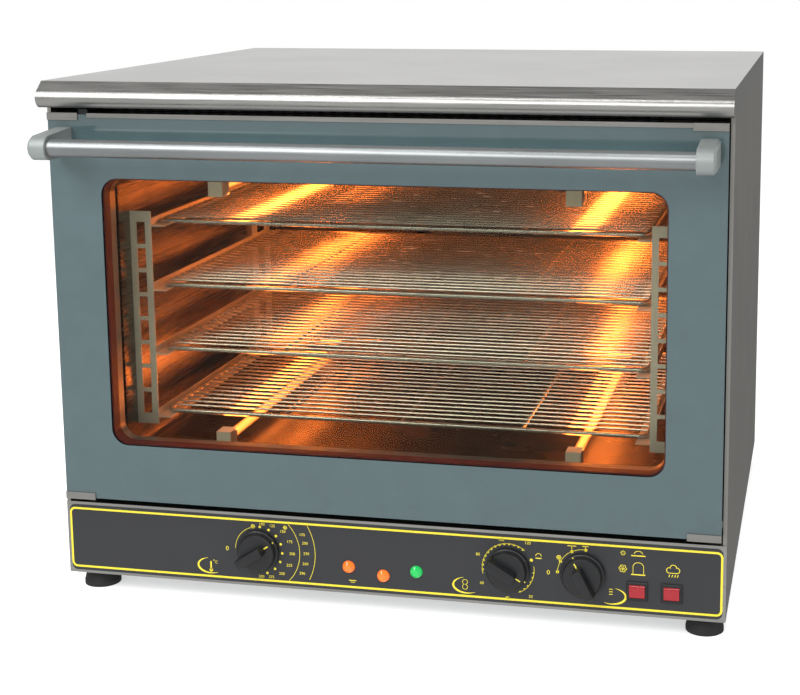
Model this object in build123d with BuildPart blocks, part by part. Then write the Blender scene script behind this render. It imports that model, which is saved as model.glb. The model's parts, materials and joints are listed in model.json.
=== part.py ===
"""Countertop convection oven with four wire shelves and a drop-down glass door.

Millimetres, +Z up, the front faces -Y. The origin is on the worktop, under the
middle of the oven with its door handle and its cable gland.
"""
import os
from math import cos, radians, sin, sqrt, tan

from build123d import *

os.makedirs("parts", exist_ok=True)

# Driving dimensions of the casing
body_width = 795.0
body_height = 600.0
casing_sheet = 1.2
panel_height = 90.0
pan_flange = 18.0
rear_flange = 14.0
hem_width = 4.5
hem_depth = 10.0
handle_reach = 79.0
gland_reach = 15.0

foot_height = 24.0
foot_radius = 22.0
foot_top_radius = 17.0
foot_rim = 5.0
foot_edge_gap = 3.5
foot_setback = 35.0

# Rounded front edge of the top cover, measured from the control panel's face
cover_height = 29.5
nose_top = 10.0
nose_slope_reach = 23.0
nose_slope_drop = 11.0
nose_bottom = 12.0
joggle_overlap = 5.0
joggle_height = 16.0

# Front frame with its row of vent holes over the door
frame_sheet = 1.5
frame_skirt = 14.0
vent_pitch = 15.0
vent_margin = 15.0
vent_width = 7.0
vent_height = 6.0

# Cavity, fan space and insulation
cavity_side = 67.5
cavity_top_gap = 110.0
cavity_corner = 20.0
cavity_rise = 50.0
liner_sheet = 1.0
liner_flange = 12.0
fan_space = 60.0
insulation_thickness = 30.0
support_width = 40.0
support_length = 300.0
support_inset = 110.0
support_sheet = 1.5

# Door
door_side_gap = 5.5
door_bottom_gap = 9.0
door_top_gap = 8.5
door_thickness = 38.0
door_proud = 10.0
glass_thickness = 4.0
window_side = 63.0
window_rise = 69.0
window_drop = 74.0
window_corner = 20.0
pan_side_inset = 8.0
pan_bottom_inset = 8.0
seal_overlap = 9.0
seal_thickness = 3.0
seal_grip = 6.0
pane_grip = 16.0
retainer_sheet = 1.2
retainer_overlap = 2.0
gasket_space = 7.0
gasket_gap = 0.3
gasket_margin = 9.0
gasket_width = 13.0
gasket_bevel = 3.2

# Hinges
hinge_back = 14.0
hinge_rise = 15.0
pin_radius = 4.0
running_clearance = 0.05
bracket_sheet = 3.0
bracket_inset = 2.0
bracket_nose = 8.0
bracket_flange = 16.0
bracket_flange_height = 38.0
pivot_block_width = 20.0
pivot_block_height = 24.0
pin_end_gap = 0.5

# Handle
bar_radius = 10.0
elbow_radius = 14.0
elbow_width = 21.0
elbow_inset = 8.5
handle_drop = 33.0
handle_base_up = 18.0
handle_base_down = 14.0
handle_round = 3.0

# Clips, edge trim and switch striker on the door's edges
clip_sheet = 1.5
clip_length = 38.0
clip_lip = 7.0
clip_reach = 24.0
trim_sheet = 1.2
trim_lip = 4.0
trim_reach = 22.0
striker_width = 11.0
striker_height = 5.5
striker_setback = 2.0
striker_reach = 8.0
striker_clearance = 2.0
switch_width = 22.0
switch_height = 30.0
switch_depth = 26.0
switch_lever = 1.0
lever_gap = 0.5

# Shelves and the racks that carry them
shelf_side_gap = 30.0
shelf_depth = 400.0
shelf_front_gap = 45.0
shelf_rear_gap = 15.0
shelf_count = 4
top_shelf_drop = 65.5
bottom_shelf_rise = 46.0
frame_wire = 6.0
frame_wire_corner = 12.0
frame_wire_bevel = 1.7
thin_wire = 3.0
cross_wire = 5.0
thin_wire_count = 22
cross_wire_count = 3
weld_depth = 0.4
shelf_seat = 0.3
rack_front_gap = 30.0
rack_sheet = 1.5
rack_width = 27.0
rack_stile = 8.0
rack_plate = 13.0
rack_top_drop = 52.0
rack_bottom_rise = 33.0
rack_rungs = 7
rung_height = 5.0
rack_rear_gap = 20.0
runner_width = 18.0
runner_lip = 10.0

# Quartz tubes, fan, ring heater and motor
tube_radius = 5.5
tube_inset = 115.0
tube_ceiling_gap = 20.0
tube_front_gap = 30.0
tube_rear_gap = 25.0
holder_width = 18.0
holder_length = 22.0
holder_grip = 12.0
holder_wall = 5.0
holder_clearance = 0.2
baffle_side_gap = 40.0
baffle_edge_gap = 10.0
baffle_sheet = 1.0
intake_radius = 92.0
intake_pitch = 16.0
intake_slot = 8.0
fan_radius = 90.0
fan_disc = 2.0
fan_height = 34.0
fan_blades = 12
fan_blade_sheet = 1.5
fan_blade_length = 34.0
fan_blade_chord = 27.0
fan_blade_angle = 35.0
fan_hub_radius = 14.0
fan_wall_gap = 12.0
shaft_radius = 5.0
shaft_grip = 24.0
ring_radius = 112.0
ring_wire_radius = 4.25
ring_wire_sides = 6
ring_turns = 2
ring_pitch = 18.0
ring_link_angle = 60.0
ring_leg_spread = 60.0
ring_leg_reach = 26.0
ring_wall_gap = 14.0
motor_radius = 42.0
motor_bevel = 7.0
motor_length = 60.0
motor_stand = 28.0
motor_plate = 2.0
motor_plate_width = 150.0
motor_plate_height = 110.0
motor_foot = 16.0
motor_rear_gap = 12.8
shaft_hole_gap = 3.0

# Control panel
overlay_thickness = 0.5
overlay_inset = 3.5
overlay_corner = 7.0
control_rise = 45.0
knob_radius = 25.5
knob_skirt = 6.0
knob_cap = 6.0
knob_cap_radius = 22.0
knob_reach = 24.0
knob_taper = 5.0
knob_gap = 0.5
grip_width = 12.0
grip_tail = 26.5
grip_nose = 21.0
grip_bevel = 1.2
knob_bore_depth = 15.0
spindle_radius = 3.0
spindle_grip = 12.0
control_body_width = 42.0
control_body_height = 44.0
control_body_depth = 34.0
control_body_corner = 5.0
lamp_radius = 7.5
lamp_dome = 5.0
lens_taper = 20.0
lens_crown_taper = 50.0
lamp_body_radius = 6.0
lamp_body_depth = 28.0
panel_hole_gap = 0.3
bezel_width = 24.0
bezel_height = 22.0
bezel_thickness = 2.5
bezel_bevel = 0.8
housing_width = 21.0
housing_height = 19.6
housing_depth = 26.0
rocker_width = 17.6
rocker_radius = 9.0
rocker_gap = 0.3
rocker_face = 6.6
rocker_tilt = 7.0
rocker_back = 4.5
rocker_pivot_depth = 2.0

# Places of the controls, measured from the panel's right-hand and bottom edges
thermostat_inset = 550.5
timer_inset = 248.5
selector_inset = 161.5
thermostat_pointer = 33.0
timer_pointer = -30.0
selector_pointer = 117.0
heat_lamp_inset = 439.5
power_lamp_inset = 397.5
steam_lamp_inset = 357.5
side_lamp_rise = 33.0
middle_lamp_rise = 25.0
rocker_inset = 60.5
rocker_spacing = 39.0
rocker_rise = 30.0

# Rear connections
gland_radius = 12.0
gland_bevel = 3.0
gland_thread_radius = 8.0
gland_nut = 5.0
nut_sides = 6
gland_bore = 5.0
gland_inner = 8.0
gland_inset = 97.5
gland_rise = 46.0
block_length = 70.0
block_height = 22.0
block_depth = 30.0
block_ways = 5
block_groove = 3.0
louvre_length = 90.0
louvre_height = 5.0
louvre_rows = 8
louvre_columns = 3
louvre_pitch = 14.0
louvre_spread = 130.0

# Planes and levels worked out from the driving dimensions
cavity_depth = shelf_front_gap + shelf_depth + shelf_rear_gap
frame_setback = door_thickness - door_proud + gasket_space
fan_bay = fan_space + liner_sheet + insulation_thickness
motor_bay = motor_stand + motor_plate + motor_length + motor_rear_gap
body_depth = frame_setback + cavity_depth + fan_bay + motor_bay + casing_sheet
overall_depth = handle_reach + body_depth + gland_reach
front_y = -overall_depth / 2
panel_y = front_y + handle_reach
rear_y = panel_y + body_depth
casing_front_y = panel_y + casing_sheet
casing_rear_y = rear_y - casing_sheet
half_width = body_width / 2
inner_half_width = half_width - casing_sheet
base_z = foot_height
panel_top_z = base_z + panel_height
top_z = base_z + body_height
cover_bottom_z = top_z - cover_height
casing_mid_y = (casing_front_y + casing_rear_y) / 2

door_half_width = half_width - door_side_gap
door_bottom_z = panel_top_z + door_bottom_gap
door_top_z = cover_bottom_z - door_top_gap
door_height = door_top_z - door_bottom_z
door_mid_z = (door_bottom_z + door_top_z) / 2
door_face_y = panel_y - door_proud
glass_back_y = door_face_y + glass_thickness
door_back_y = door_face_y + door_thickness
retainer_y = door_back_y - retainer_sheet
pane_y = retainer_y - glass_thickness
seal_y = pane_y - seal_thickness
window_width = 2 * (door_half_width - window_side)
window_height = door_height - window_rise - window_drop
window_mid_z = door_bottom_z + window_rise + window_height / 2
hinge_y = door_face_y + hinge_back
hinge_z = door_bottom_z + hinge_rise

frame_y = panel_y + frame_setback
frame_back_y = frame_y + frame_sheet
cavity_floor_z = panel_top_z + cavity_rise
cavity_top_z = top_z - cavity_top_gap
cavity_height = cavity_top_z - cavity_floor_z
cavity_width = body_width - 2 * cavity_side
cavity_mid_z = (cavity_floor_z + cavity_top_z) / 2
baffle_y = frame_y + cavity_depth
liner_back_y = baffle_y + fan_space
liner_rear_y = liner_back_y + liner_sheet
insulation_rear_y = liner_rear_y + insulation_thickness
motor_plate_y = insulation_rear_y + motor_stand
overlay_y = panel_y - overlay_thickness
control_z = base_z + control_rise


def front_plane(y):
    """Upright plane at depth y, with local x along X and local y along Z."""
    return Plane.XZ.offset(-y)


def dial_plane(x, y, z, angle):
    """Plane on the panel that faces the user, with local x turned by angle."""
    direction = (cos(radians(angle)), 0, sin(radians(angle)))
    return Plane(origin=(x, y, z), x_dir=direction, z_dir=(0, -1, 0))


def save(piece, node):
    """Label a finished piece and write its file."""
    piece.part.label = node
    export_step(piece.part, f"parts/{node}.step")


# Base pan: a tray with four upturned flanges between the side panels
with BuildPart() as base_pan:
    with BuildSketch(Plane.XY.offset(base_z)):
        with Locations((0, casing_mid_y)):
            Rectangle(2 * inner_half_width, casing_rear_y - casing_front_y)
    extrude(amount=pan_flange)
    pan_mouth = base_pan.faces().sort_by(Axis.Z)[-1]
    offset(amount=-casing_sheet, openings=pan_mouth)
save(base_pan, "base_pan")


# Feet: turned rubber feet with a wide rim on the worktop
foot_x = half_width - foot_edge_gap - foot_radius
with BuildPart() as feet:
    with Locations((0, (panel_y + rear_y) / 2, 0)):
        with GridLocations(2 * foot_x, body_depth - 2 * foot_setback, 2, 2):
            Cylinder(foot_radius, foot_rim, align=(Align.CENTER, Align.CENTER, Align.MIN))
            with Locations((0, 0, foot_rim)):
                Cone(
                    foot_radius,
                    foot_top_radius,
                    foot_height - foot_rim,
                    align=(Align.CENTER, Align.CENTER, Align.MIN),
                )
save(feet, "feet")


def side_panel(side):
    """Folded side sheet with a front hem, a rear flange and a joggled top edge."""
    web_x = side * (half_width - casing_sheet / 2)
    hem_x = side * (half_width - hem_width / 2)
    hem_inner_x = side * (half_width - hem_width + casing_sheet / 2)
    rear_x = side * (half_width - rear_flange / 2)
    lip_y = (frame_back_y + casing_rear_y) / 2
    with BuildPart() as panel:
        with BuildSketch(Plane.XY.offset(base_z)):
            with Locations((web_x, casing_mid_y)):
                Rectangle(casing_sheet, casing_rear_y - casing_front_y)
        extrude(amount=cover_bottom_z - base_z)
        with BuildSketch(Plane.XY.offset(panel_top_z)):
            with Locations((hem_x, casing_front_y + casing_sheet / 2)):
                Rectangle(hem_width, casing_sheet)
            with Locations((hem_inner_x, casing_front_y + hem_depth / 2)):
                Rectangle(casing_sheet, hem_depth)
        extrude(amount=cover_bottom_z - panel_top_z)
        with BuildSketch(Plane.XY.offset(base_z + pan_flange)):
            with Locations((rear_x, casing_rear_y - casing_sheet / 2)):
                Rectangle(rear_flange, casing_sheet)
        extrude(amount=cover_bottom_z - base_z - pan_flange)
        with BuildSketch(Plane.XY.offset(cover_bottom_z - joggle_overlap)):
            with Locations((web_x - side * casing_sheet, lip_y)):
                Rectangle(casing_sheet, casing_rear_y - frame_back_y)
        extrude(amount=joggle_overlap + joggle_height)
    return panel


save(side_panel(-1), "side_panel_left")
save(side_panel(1), "side_panel_right")


# Top cover: one sheet with a rounded nose in front and flanges on the other sides
nose_start = (panel_y - nose_slope_reach, top_z - nose_slope_drop)
nose_end = (panel_y - nose_bottom, cover_bottom_z)
with BuildSketch(Plane.YZ.offset(-half_width)) as cover_section:
    with BuildLine():
        Polyline(nose_end, (rear_y, cover_bottom_z), (rear_y, top_z), (panel_y - nose_top, top_z))
        slope = Line((panel_y - nose_top, top_z), nose_start)
        TangentArc(nose_start, nose_end, tangent=slope % 1)
    make_face()
with BuildSketch(Plane.YZ.offset(-inner_half_width)) as cover_hollow:
    add(cover_section.sketch_local)
    offset(amount=-casing_sheet, mode=Mode.REPLACE)
mouth_length = casing_rear_y - frame_y
with BuildPart() as top_cover:
    extrude(cover_section.sketch, amount=body_width)
    extrude(cover_hollow.sketch, amount=2 * inner_half_width, mode=Mode.SUBTRACT)
    with BuildSketch(Plane.XY.offset(cover_bottom_z)):
        with Locations((0, frame_y + mouth_length / 2)):
            Rectangle(2 * inner_half_width, mouth_length)
    extrude(amount=casing_sheet, mode=Mode.SUBTRACT)
save(top_cover, "top_cover")


# Rear panel: flat sheet with louvre slots behind the motor and a gland hole
gland_x = half_width - gland_inset
gland_z = base_z + gland_rise
with BuildPart() as rear_panel:
    with BuildSketch(front_plane(casing_rear_y)):
        with Locations((0, (base_z + cover_bottom_z) / 2)):
            Rectangle(body_width, cover_bottom_z - base_z)
        with Locations((0, cavity_mid_z)):
            with GridLocations(louvre_spread, louvre_pitch, louvre_columns, louvre_rows):
                Rectangle(louvre_length, louvre_height, mode=Mode.SUBTRACT)
        with Locations((gland_x, gland_z)):
            Circle(gland_thread_radius + panel_hole_gap, mode=Mode.SUBTRACT)
    extrude(amount=-casing_sheet)
save(rear_panel, "rear_panel")


# Cable gland: domed nut outside, thread and lock nut inside the rear panel
with BuildPart() as cable_gland:
    with BuildSketch(front_plane(rear_y)):
        with Locations((gland_x, gland_z)):
            Circle(gland_radius)
    extrude(amount=-gland_reach)
    gland_rim = cable_gland.faces().sort_by(Axis.Y)[-1].edges()
    chamfer(gland_rim, length=gland_bevel)
    with BuildSketch(front_plane(rear_y)):
        with Locations((gland_x, gland_z)):
            Circle(gland_thread_radius)
    extrude(amount=casing_sheet + gland_inner)
    with BuildSketch(front_plane(casing_rear_y)):
        with Locations((gland_x, gland_z)):
            RegularPolygon(gland_radius, nut_sides)
    extrude(amount=gland_nut)
    with BuildSketch(front_plane(rear_y + gland_reach)):
        with Locations((gland_x, gland_z)):
            Circle(gland_bore)
    extrude(amount=gland_reach + casing_sheet + gland_inner, mode=Mode.SUBTRACT)
save(cable_gland, "cable_gland")


# Terminal block on the base pan, with a groove between its ways
block_y = casing_rear_y - casing_sheet - 2 * block_depth
with BuildPart() as terminal_block:
    with Locations((gland_x, block_y, base_z + casing_sheet)):
        Box(
            block_length,
            block_depth,
            block_height,
            align=(Align.CENTER, Align.CENTER, Align.MIN),
        )
    way = block_length / block_ways
    with Locations((gland_x, block_y, base_z + casing_sheet + block_height)):
        with GridLocations(way, 0, block_ways - 1, 1):
            Box(block_groove, block_depth, block_height, mode=Mode.SUBTRACT)
save(terminal_block, "terminal_block")


# Front frame: upright sheet round the cavity mouth, with vent holes over the door
frame_bottom_z = panel_top_z - frame_skirt
frame_top_z = top_z - casing_sheet
liner_width = cavity_width + 2 * liner_sheet
liner_height = cavity_height + 2 * liner_sheet
liner_corner = cavity_corner + liner_sheet
vent_z = (door_top_z + cover_bottom_z) / 2
vent_count = int((cavity_width - 2 * vent_margin) / vent_pitch) + 1
striker_x = clip_length + striker_width / 2 - door_half_width + panel_hole_gap
with BuildPart() as front_frame:
    with BuildSketch(front_plane(frame_y)):
        with Locations((0, (frame_bottom_z + frame_top_z) / 2)):
            Rectangle(2 * inner_half_width, frame_top_z - frame_bottom_z)
        with Locations((0, cavity_mid_z)):
            RectangleRounded(liner_width, liner_height, liner_corner, mode=Mode.SUBTRACT)
        with Locations((0, vent_z)):
            with GridLocations(vent_pitch, 0, vent_count, 1):
                Rectangle(vent_width, vent_height, mode=Mode.SUBTRACT)
        with Locations((striker_x, door_top_z + striker_height / 2)):
            Rectangle(
                striker_width + 2 * striker_clearance,
                striker_height + 2 * striker_clearance,
                mode=Mode.SUBTRACT,
            )
    extrude(amount=-frame_sheet)
save(front_frame, "front_frame")


# Cavity liner: rounded box open to the front, with a flange behind the front frame
leg_z = cavity_mid_z - sqrt(ring_radius**2 - (ring_leg_spread / 2) ** 2)
with BuildPart() as cavity_liner:
    with BuildSketch(front_plane(frame_y)):
        with Locations((0, cavity_mid_z)):
            RectangleRounded(liner_width, liner_height, liner_corner)
    extrude(amount=-(liner_rear_y - frame_y))
    liner_mouth = cavity_liner.faces().sort_by(Axis.Y)[0]
    offset(amount=-liner_sheet, openings=liner_mouth)
    with BuildSketch(front_plane(frame_back_y)):
        with Locations((0, cavity_mid_z)):
            RectangleRounded(
                liner_width + 2 * liner_flange,
                liner_height + 2 * liner_flange,
                liner_corner + liner_flange,
            )
            RectangleRounded(liner_width, liner_height, liner_corner, mode=Mode.SUBTRACT)
    extrude(amount=-liner_sheet)
    with BuildSketch(front_plane(liner_back_y)):
        with Locations((0, cavity_mid_z)):
            Circle(shaft_radius + shaft_hole_gap)
        with Locations((0, leg_z)):
            with GridLocations(ring_leg_spread, 0, 2, 1):
                Circle(ring_wire_radius + panel_hole_gap)
    extrude(amount=-liner_sheet, mode=Mode.SUBTRACT)
save(cavity_liner, "cavity_liner")


# Insulation: mineral wool jacket on the liner's sides, top, bottom and back
with BuildPart() as insulation_blanket:
    with BuildSketch(front_plane(frame_back_y + liner_sheet)):
        with Locations((0, cavity_mid_z)):
            RectangleRounded(
                liner_width + 2 * insulation_thickness,
                liner_height + 2 * insulation_thickness,
                liner_corner + insulation_thickness,
            )
    extrude(amount=-(insulation_rear_y - frame_back_y - liner_sheet))
    with BuildSketch(front_plane(frame_back_y + liner_sheet)):
        with Locations((0, cavity_mid_z)):
            RectangleRounded(liner_width, liner_height, liner_corner)
    extrude(amount=-(liner_rear_y - frame_back_y - liner_sheet), mode=Mode.SUBTRACT)
    with BuildSketch(front_plane(liner_rear_y)):
        with Locations((0, cavity_mid_z)):
            Circle(shaft_radius + shaft_hole_gap)
        with Locations((0, leg_z)):
            with GridLocations(ring_leg_spread, 0, 2, 1):
                Circle(ring_wire_radius + panel_hole_gap)
    extrude(amount=-insulation_thickness, mode=Mode.SUBTRACT)
save(insulation_blanket, "insulation_blanket")


# Support channels: two folded channels that carry the cavity on the base pan
support_bottom_z = base_z + casing_sheet
support_top_z = cavity_floor_z - liner_sheet - insulation_thickness
support_y = (baffle_y + frame_y) / 2
support_spread = cavity_width - 2 * support_inset
with BuildPart() as support_channels:
    with BuildSketch(front_plane(support_y - support_length / 2)):
        with Locations((0, (support_bottom_z + support_top_z) / 2)):
            with GridLocations(support_spread, 0, 2, 1):
                Rectangle(support_width, support_top_z - support_bottom_z)
        with Locations((0, (support_bottom_z + support_top_z - support_sheet) / 2)):
            with GridLocations(support_spread, 0, 2, 1):
                Rectangle(
                    support_width - 2 * support_sheet,
                    support_top_z - support_bottom_z - support_sheet,
                    mode=Mode.SUBTRACT,
                )
    extrude(amount=-support_length)
save(support_channels, "support_channels")


# Door gasket: rounded seal on the front frame, just clear of the closed door
with BuildPart() as door_gasket:
    with BuildSketch(front_plane(frame_y)):
        with Locations((0, cavity_mid_z)):
            RectangleRounded(
                liner_width + 2 * (gasket_margin + gasket_width),
                liner_height + 2 * (gasket_margin + gasket_width),
                liner_corner + gasket_margin + gasket_width,
            )
            RectangleRounded(
                liner_width + 2 * gasket_margin,
                liner_height + 2 * gasket_margin,
                liner_corner + gasket_margin,
                mode=Mode.SUBTRACT,
            )
    extrude(amount=gasket_space - gasket_gap)
    gasket_face = door_gasket.faces().sort_by(Axis.Y)[0]
    chamfer(gasket_face.edges(), length=gasket_bevel)
save(door_gasket, "door_gasket")


# Fan baffle: folded sheet in front of the fan, air goes in by its slots and out at its sides
baffle_width = cavity_width - 2 * baffle_side_gap
baffle_height = cavity_height - 2 * baffle_edge_gap
slot_rows = int(intake_radius // intake_pitch)
with BuildPart() as fan_baffle:
    with BuildSketch(front_plane(baffle_y)):
        with Locations((0, cavity_mid_z)):
            Rectangle(baffle_width, baffle_height)
    extrude(amount=-fan_space)
    with BuildSketch(front_plane(baffle_y + baffle_sheet)):
        with Locations((0, cavity_mid_z)):
            Rectangle(baffle_width, baffle_height - 2 * baffle_sheet)
    extrude(amount=-(fan_space - baffle_sheet), mode=Mode.SUBTRACT)
    with BuildSketch(front_plane(baffle_y)):
        for row in range(-slot_rows, slot_rows + 1):
            drop = row * intake_pitch
            chord = 2 * sqrt(intake_radius**2 - drop**2)
            with Locations((0, cavity_mid_z + drop)):
                Rectangle(chord, intake_slot)
    extrude(amount=-baffle_sheet, mode=Mode.SUBTRACT)
save(fan_baffle, "fan_baffle")


# Fan: a back disc with forward-leaning blades and a hub, on the motor shaft
fan_disc_y = liner_back_y - fan_wall_gap
blade_ring = fan_radius - fan_blade_length / 2
with BuildPart() as fan_impeller:
    with BuildSketch(front_plane(fan_disc_y)):
        with Locations((0, cavity_mid_z)):
            Circle(fan_radius)
    extrude(amount=fan_disc)
    with BuildSketch(front_plane(fan_disc_y - fan_disc)):
        with Locations((0, cavity_mid_z)):
            Circle(fan_hub_radius)
            with PolarLocations(blade_ring, fan_blades):
                Rectangle(fan_blade_chord, fan_blade_sheet, rotation=fan_blade_angle)
    extrude(amount=fan_height)
    with BuildSketch(front_plane(fan_disc_y)):
        with Locations((0, cavity_mid_z)):
            Circle(shaft_radius + running_clearance)
    extrude(amount=shaft_grip, mode=Mode.SUBTRACT)
save(fan_impeller, "fan_impeller")

motor_grip = motor_length / 2
with BuildPart() as fan_shaft:
    with BuildSketch(front_plane(fan_disc_y - shaft_grip)):
        with Locations((0, cavity_mid_z)):
            Circle(shaft_radius)
    extrude(amount=-(motor_plate_y + motor_plate + motor_grip - fan_disc_y + shaft_grip))
save(fan_shaft, "fan_shaft")


# Motor plate: a bridge on two folded feet behind the insulation
with BuildPart() as motor_bracket:
    with BuildSketch(front_plane(insulation_rear_y)):
        with Locations((0, cavity_mid_z)):
            Rectangle(motor_plate_width, motor_plate_height)
    extrude(amount=-(motor_stand + motor_plate))
    with BuildSketch(front_plane(insulation_rear_y)):
        with Locations((0, cavity_mid_z)):
            Rectangle(motor_plate_width - 2 * motor_plate, motor_plate_height)
    extrude(amount=-motor_stand, mode=Mode.SUBTRACT)
    with BuildSketch(front_plane(insulation_rear_y)):
        with Locations((0, cavity_mid_z)):
            with GridLocations(motor_plate_width + motor_foot - motor_plate, 0, 2, 1):
                Rectangle(motor_foot + motor_plate, motor_plate_height)
    extrude(amount=-motor_plate)
    with BuildSketch(front_plane(motor_plate_y)):
        with Locations((0, cavity_mid_z)):
            Circle(shaft_radius + shaft_hole_gap)
    extrude(amount=-motor_plate, mode=Mode.SUBTRACT)
save(motor_bracket, "motor_bracket")

with BuildPart() as fan_motor:
    with BuildSketch(front_plane(motor_plate_y + motor_plate)):
        with Locations((0, cavity_mid_z)):
            Circle(motor_radius)
    extrude(amount=-motor_length)
    chamfer(fan_motor.faces().sort_by(Axis.Y)[-1].edges(), length=motor_bevel)
    with BuildSketch(front_plane(motor_plate_y + motor_plate)):
        with Locations((0, cavity_mid_z)):
            Circle(shaft_radius + running_clearance)
    extrude(amount=-(motor_grip + shaft_hole_gap), mode=Mode.SUBTRACT)
save(fan_motor, "fan_motor")


# Ring heater: turns round the fan, joined by a link, with two legs through the back wall
ring_y = liner_back_y - ring_wall_gap
link_x = ring_radius * sin(radians(ring_link_angle))
link_z = cavity_mid_z + ring_radius * cos(radians(ring_link_angle))
with BuildPart() as ring_heater:
    for turn in range(ring_turns):
        with BuildSketch(Plane.XY.offset(cavity_mid_z)):
            with Locations((ring_radius, ring_y - turn * ring_pitch)):
                RegularPolygon(ring_wire_radius, ring_wire_sides)
        revolve(axis=Axis((0, 0, cavity_mid_z), (0, 1, 0)))
    with BuildSketch(front_plane(ring_y)):
        with Locations((link_x, link_z)):
            RegularPolygon(ring_wire_radius, ring_wire_sides)
    extrude(amount=(ring_turns - 1) * ring_pitch)
    with BuildSketch(front_plane(ring_y)):
        with Locations((0, leg_z)):
            with GridLocations(ring_leg_spread, 0, 2, 1):
                RegularPolygon(ring_wire_radius, ring_wire_sides)
    extrude(amount=-(ring_wall_gap + liner_sheet + ring_leg_reach))
save(ring_heater, "ring_heater")


# Quartz tubes run front to back under the ceiling and over the floor, in ceramic holders
tube_start_y = frame_y + tube_front_gap
tube_end_y = baffle_y - tube_rear_gap
tube_spread = cavity_width - 2 * tube_inset
tube_levels = {
    "upper": cavity_top_z - tube_ceiling_gap,
    "lower": cavity_floor_z + tube_ceiling_gap,
}
for level_name, tube_z in tube_levels.items():
    with BuildPart() as quartz_tubes:
        with BuildSketch(front_plane(tube_start_y)):
            with Locations((0, tube_z)):
                with GridLocations(tube_spread, 0, 2, 1):
                    Circle(tube_radius)
        extrude(amount=-(tube_end_y - tube_start_y))
    save(quartz_tubes, f"quartz_tubes_{level_name}")

holder_height = tube_ceiling_gap + tube_radius + holder_wall
holder_starts = (tube_start_y - holder_length + holder_grip, tube_end_y - holder_grip)
with BuildPart() as tube_holders:
    for start_y in holder_starts:
        with BuildSketch(front_plane(start_y)):
            with Locations((0, cavity_top_z - holder_height / 2)):
                with GridLocations(tube_spread, 0, 2, 1):
                    Rectangle(holder_width, holder_height)
            with Locations((0, cavity_floor_z + holder_height / 2)):
                with GridLocations(tube_spread, 0, 2, 1):
                    Rectangle(holder_width, holder_height)
        extrude(amount=-holder_length)
    for tube_z in tube_levels.values():
        with BuildSketch(front_plane(tube_start_y)):
            with Locations((0, tube_z)):
                with GridLocations(tube_spread, 0, 2, 1):
                    Circle(tube_radius + holder_clearance)
        extrude(amount=-(tube_end_y - tube_start_y), mode=Mode.SUBTRACT)
save(tube_holders, "tube_holders")


# Shelf levels, top first, given as the middle of each shelf's frame wire
shelf_width = cavity_width - 2 * shelf_side_gap
shelf_mid_y = frame_y + shelf_front_gap + shelf_depth / 2
top_shelf_z = cavity_top_z - top_shelf_drop
shelf_pitch = (top_shelf_z - cavity_floor_z - bottom_shelf_rise) / (shelf_count - 1)
shelf_levels = [top_shelf_z - level * shelf_pitch for level in range(shelf_count)]


def shelf_rack(side):
    """Two stamped ladders joined by one folded runner under each shelf."""
    wall_x = cavity_width / 2
    stile_x = side * (wall_x - rack_width + rack_stile / 2)
    bar_x = side * (wall_x - rack_width / 2)
    edge_x = side * (wall_x - rack_stile / 2)
    rack_front_y = frame_y + rack_front_gap
    rack_rear_y = baffle_y - rack_rear_gap
    low_z = cavity_floor_z + rack_bottom_rise
    high_z = cavity_top_z - rack_top_drop
    rung_step = (high_z - low_z - 2 * rack_plate) / (rack_rungs + 1)
    runner_outer_x = wall_x - rack_width + rack_sheet
    runner_x = side * (runner_outer_x - runner_width / 2)
    lip_x = side * (runner_outer_x - rack_sheet / 2)
    with BuildPart() as rack:
        for ladder_y in (rack_front_y, rack_rear_y - rack_sheet):
            with BuildSketch(front_plane(ladder_y)):
                with Locations((stile_x, (low_z + high_z) / 2), (edge_x, (low_z + high_z) / 2)):
                    Rectangle(rack_stile, high_z - low_z)
                with Locations((bar_x, low_z + rack_plate / 2), (bar_x, high_z - rack_plate / 2)):
                    Rectangle(rack_width, rack_plate)
                for rung in range(1, rack_rungs + 1):
                    with Locations((bar_x, low_z + rack_plate + rung * rung_step)):
                        Rectangle(rack_width, rung_height)
            extrude(amount=-rack_sheet)
        for level_z in shelf_levels:
            runner_z = level_z - frame_wire / 2 - shelf_seat
            with BuildSketch(front_plane(rack_front_y)):
                with Locations((runner_x, runner_z - rack_sheet / 2)):
                    Rectangle(runner_width, rack_sheet)
                with Locations((lip_x, runner_z + runner_lip / 2 - rack_sheet)):
                    Rectangle(rack_sheet, runner_lip)
            extrude(amount=-(rack_rear_y - rack_front_y))
    return rack


save(shelf_rack(-1), "shelf_rack_left")
save(shelf_rack(1), "shelf_rack_right")


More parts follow.
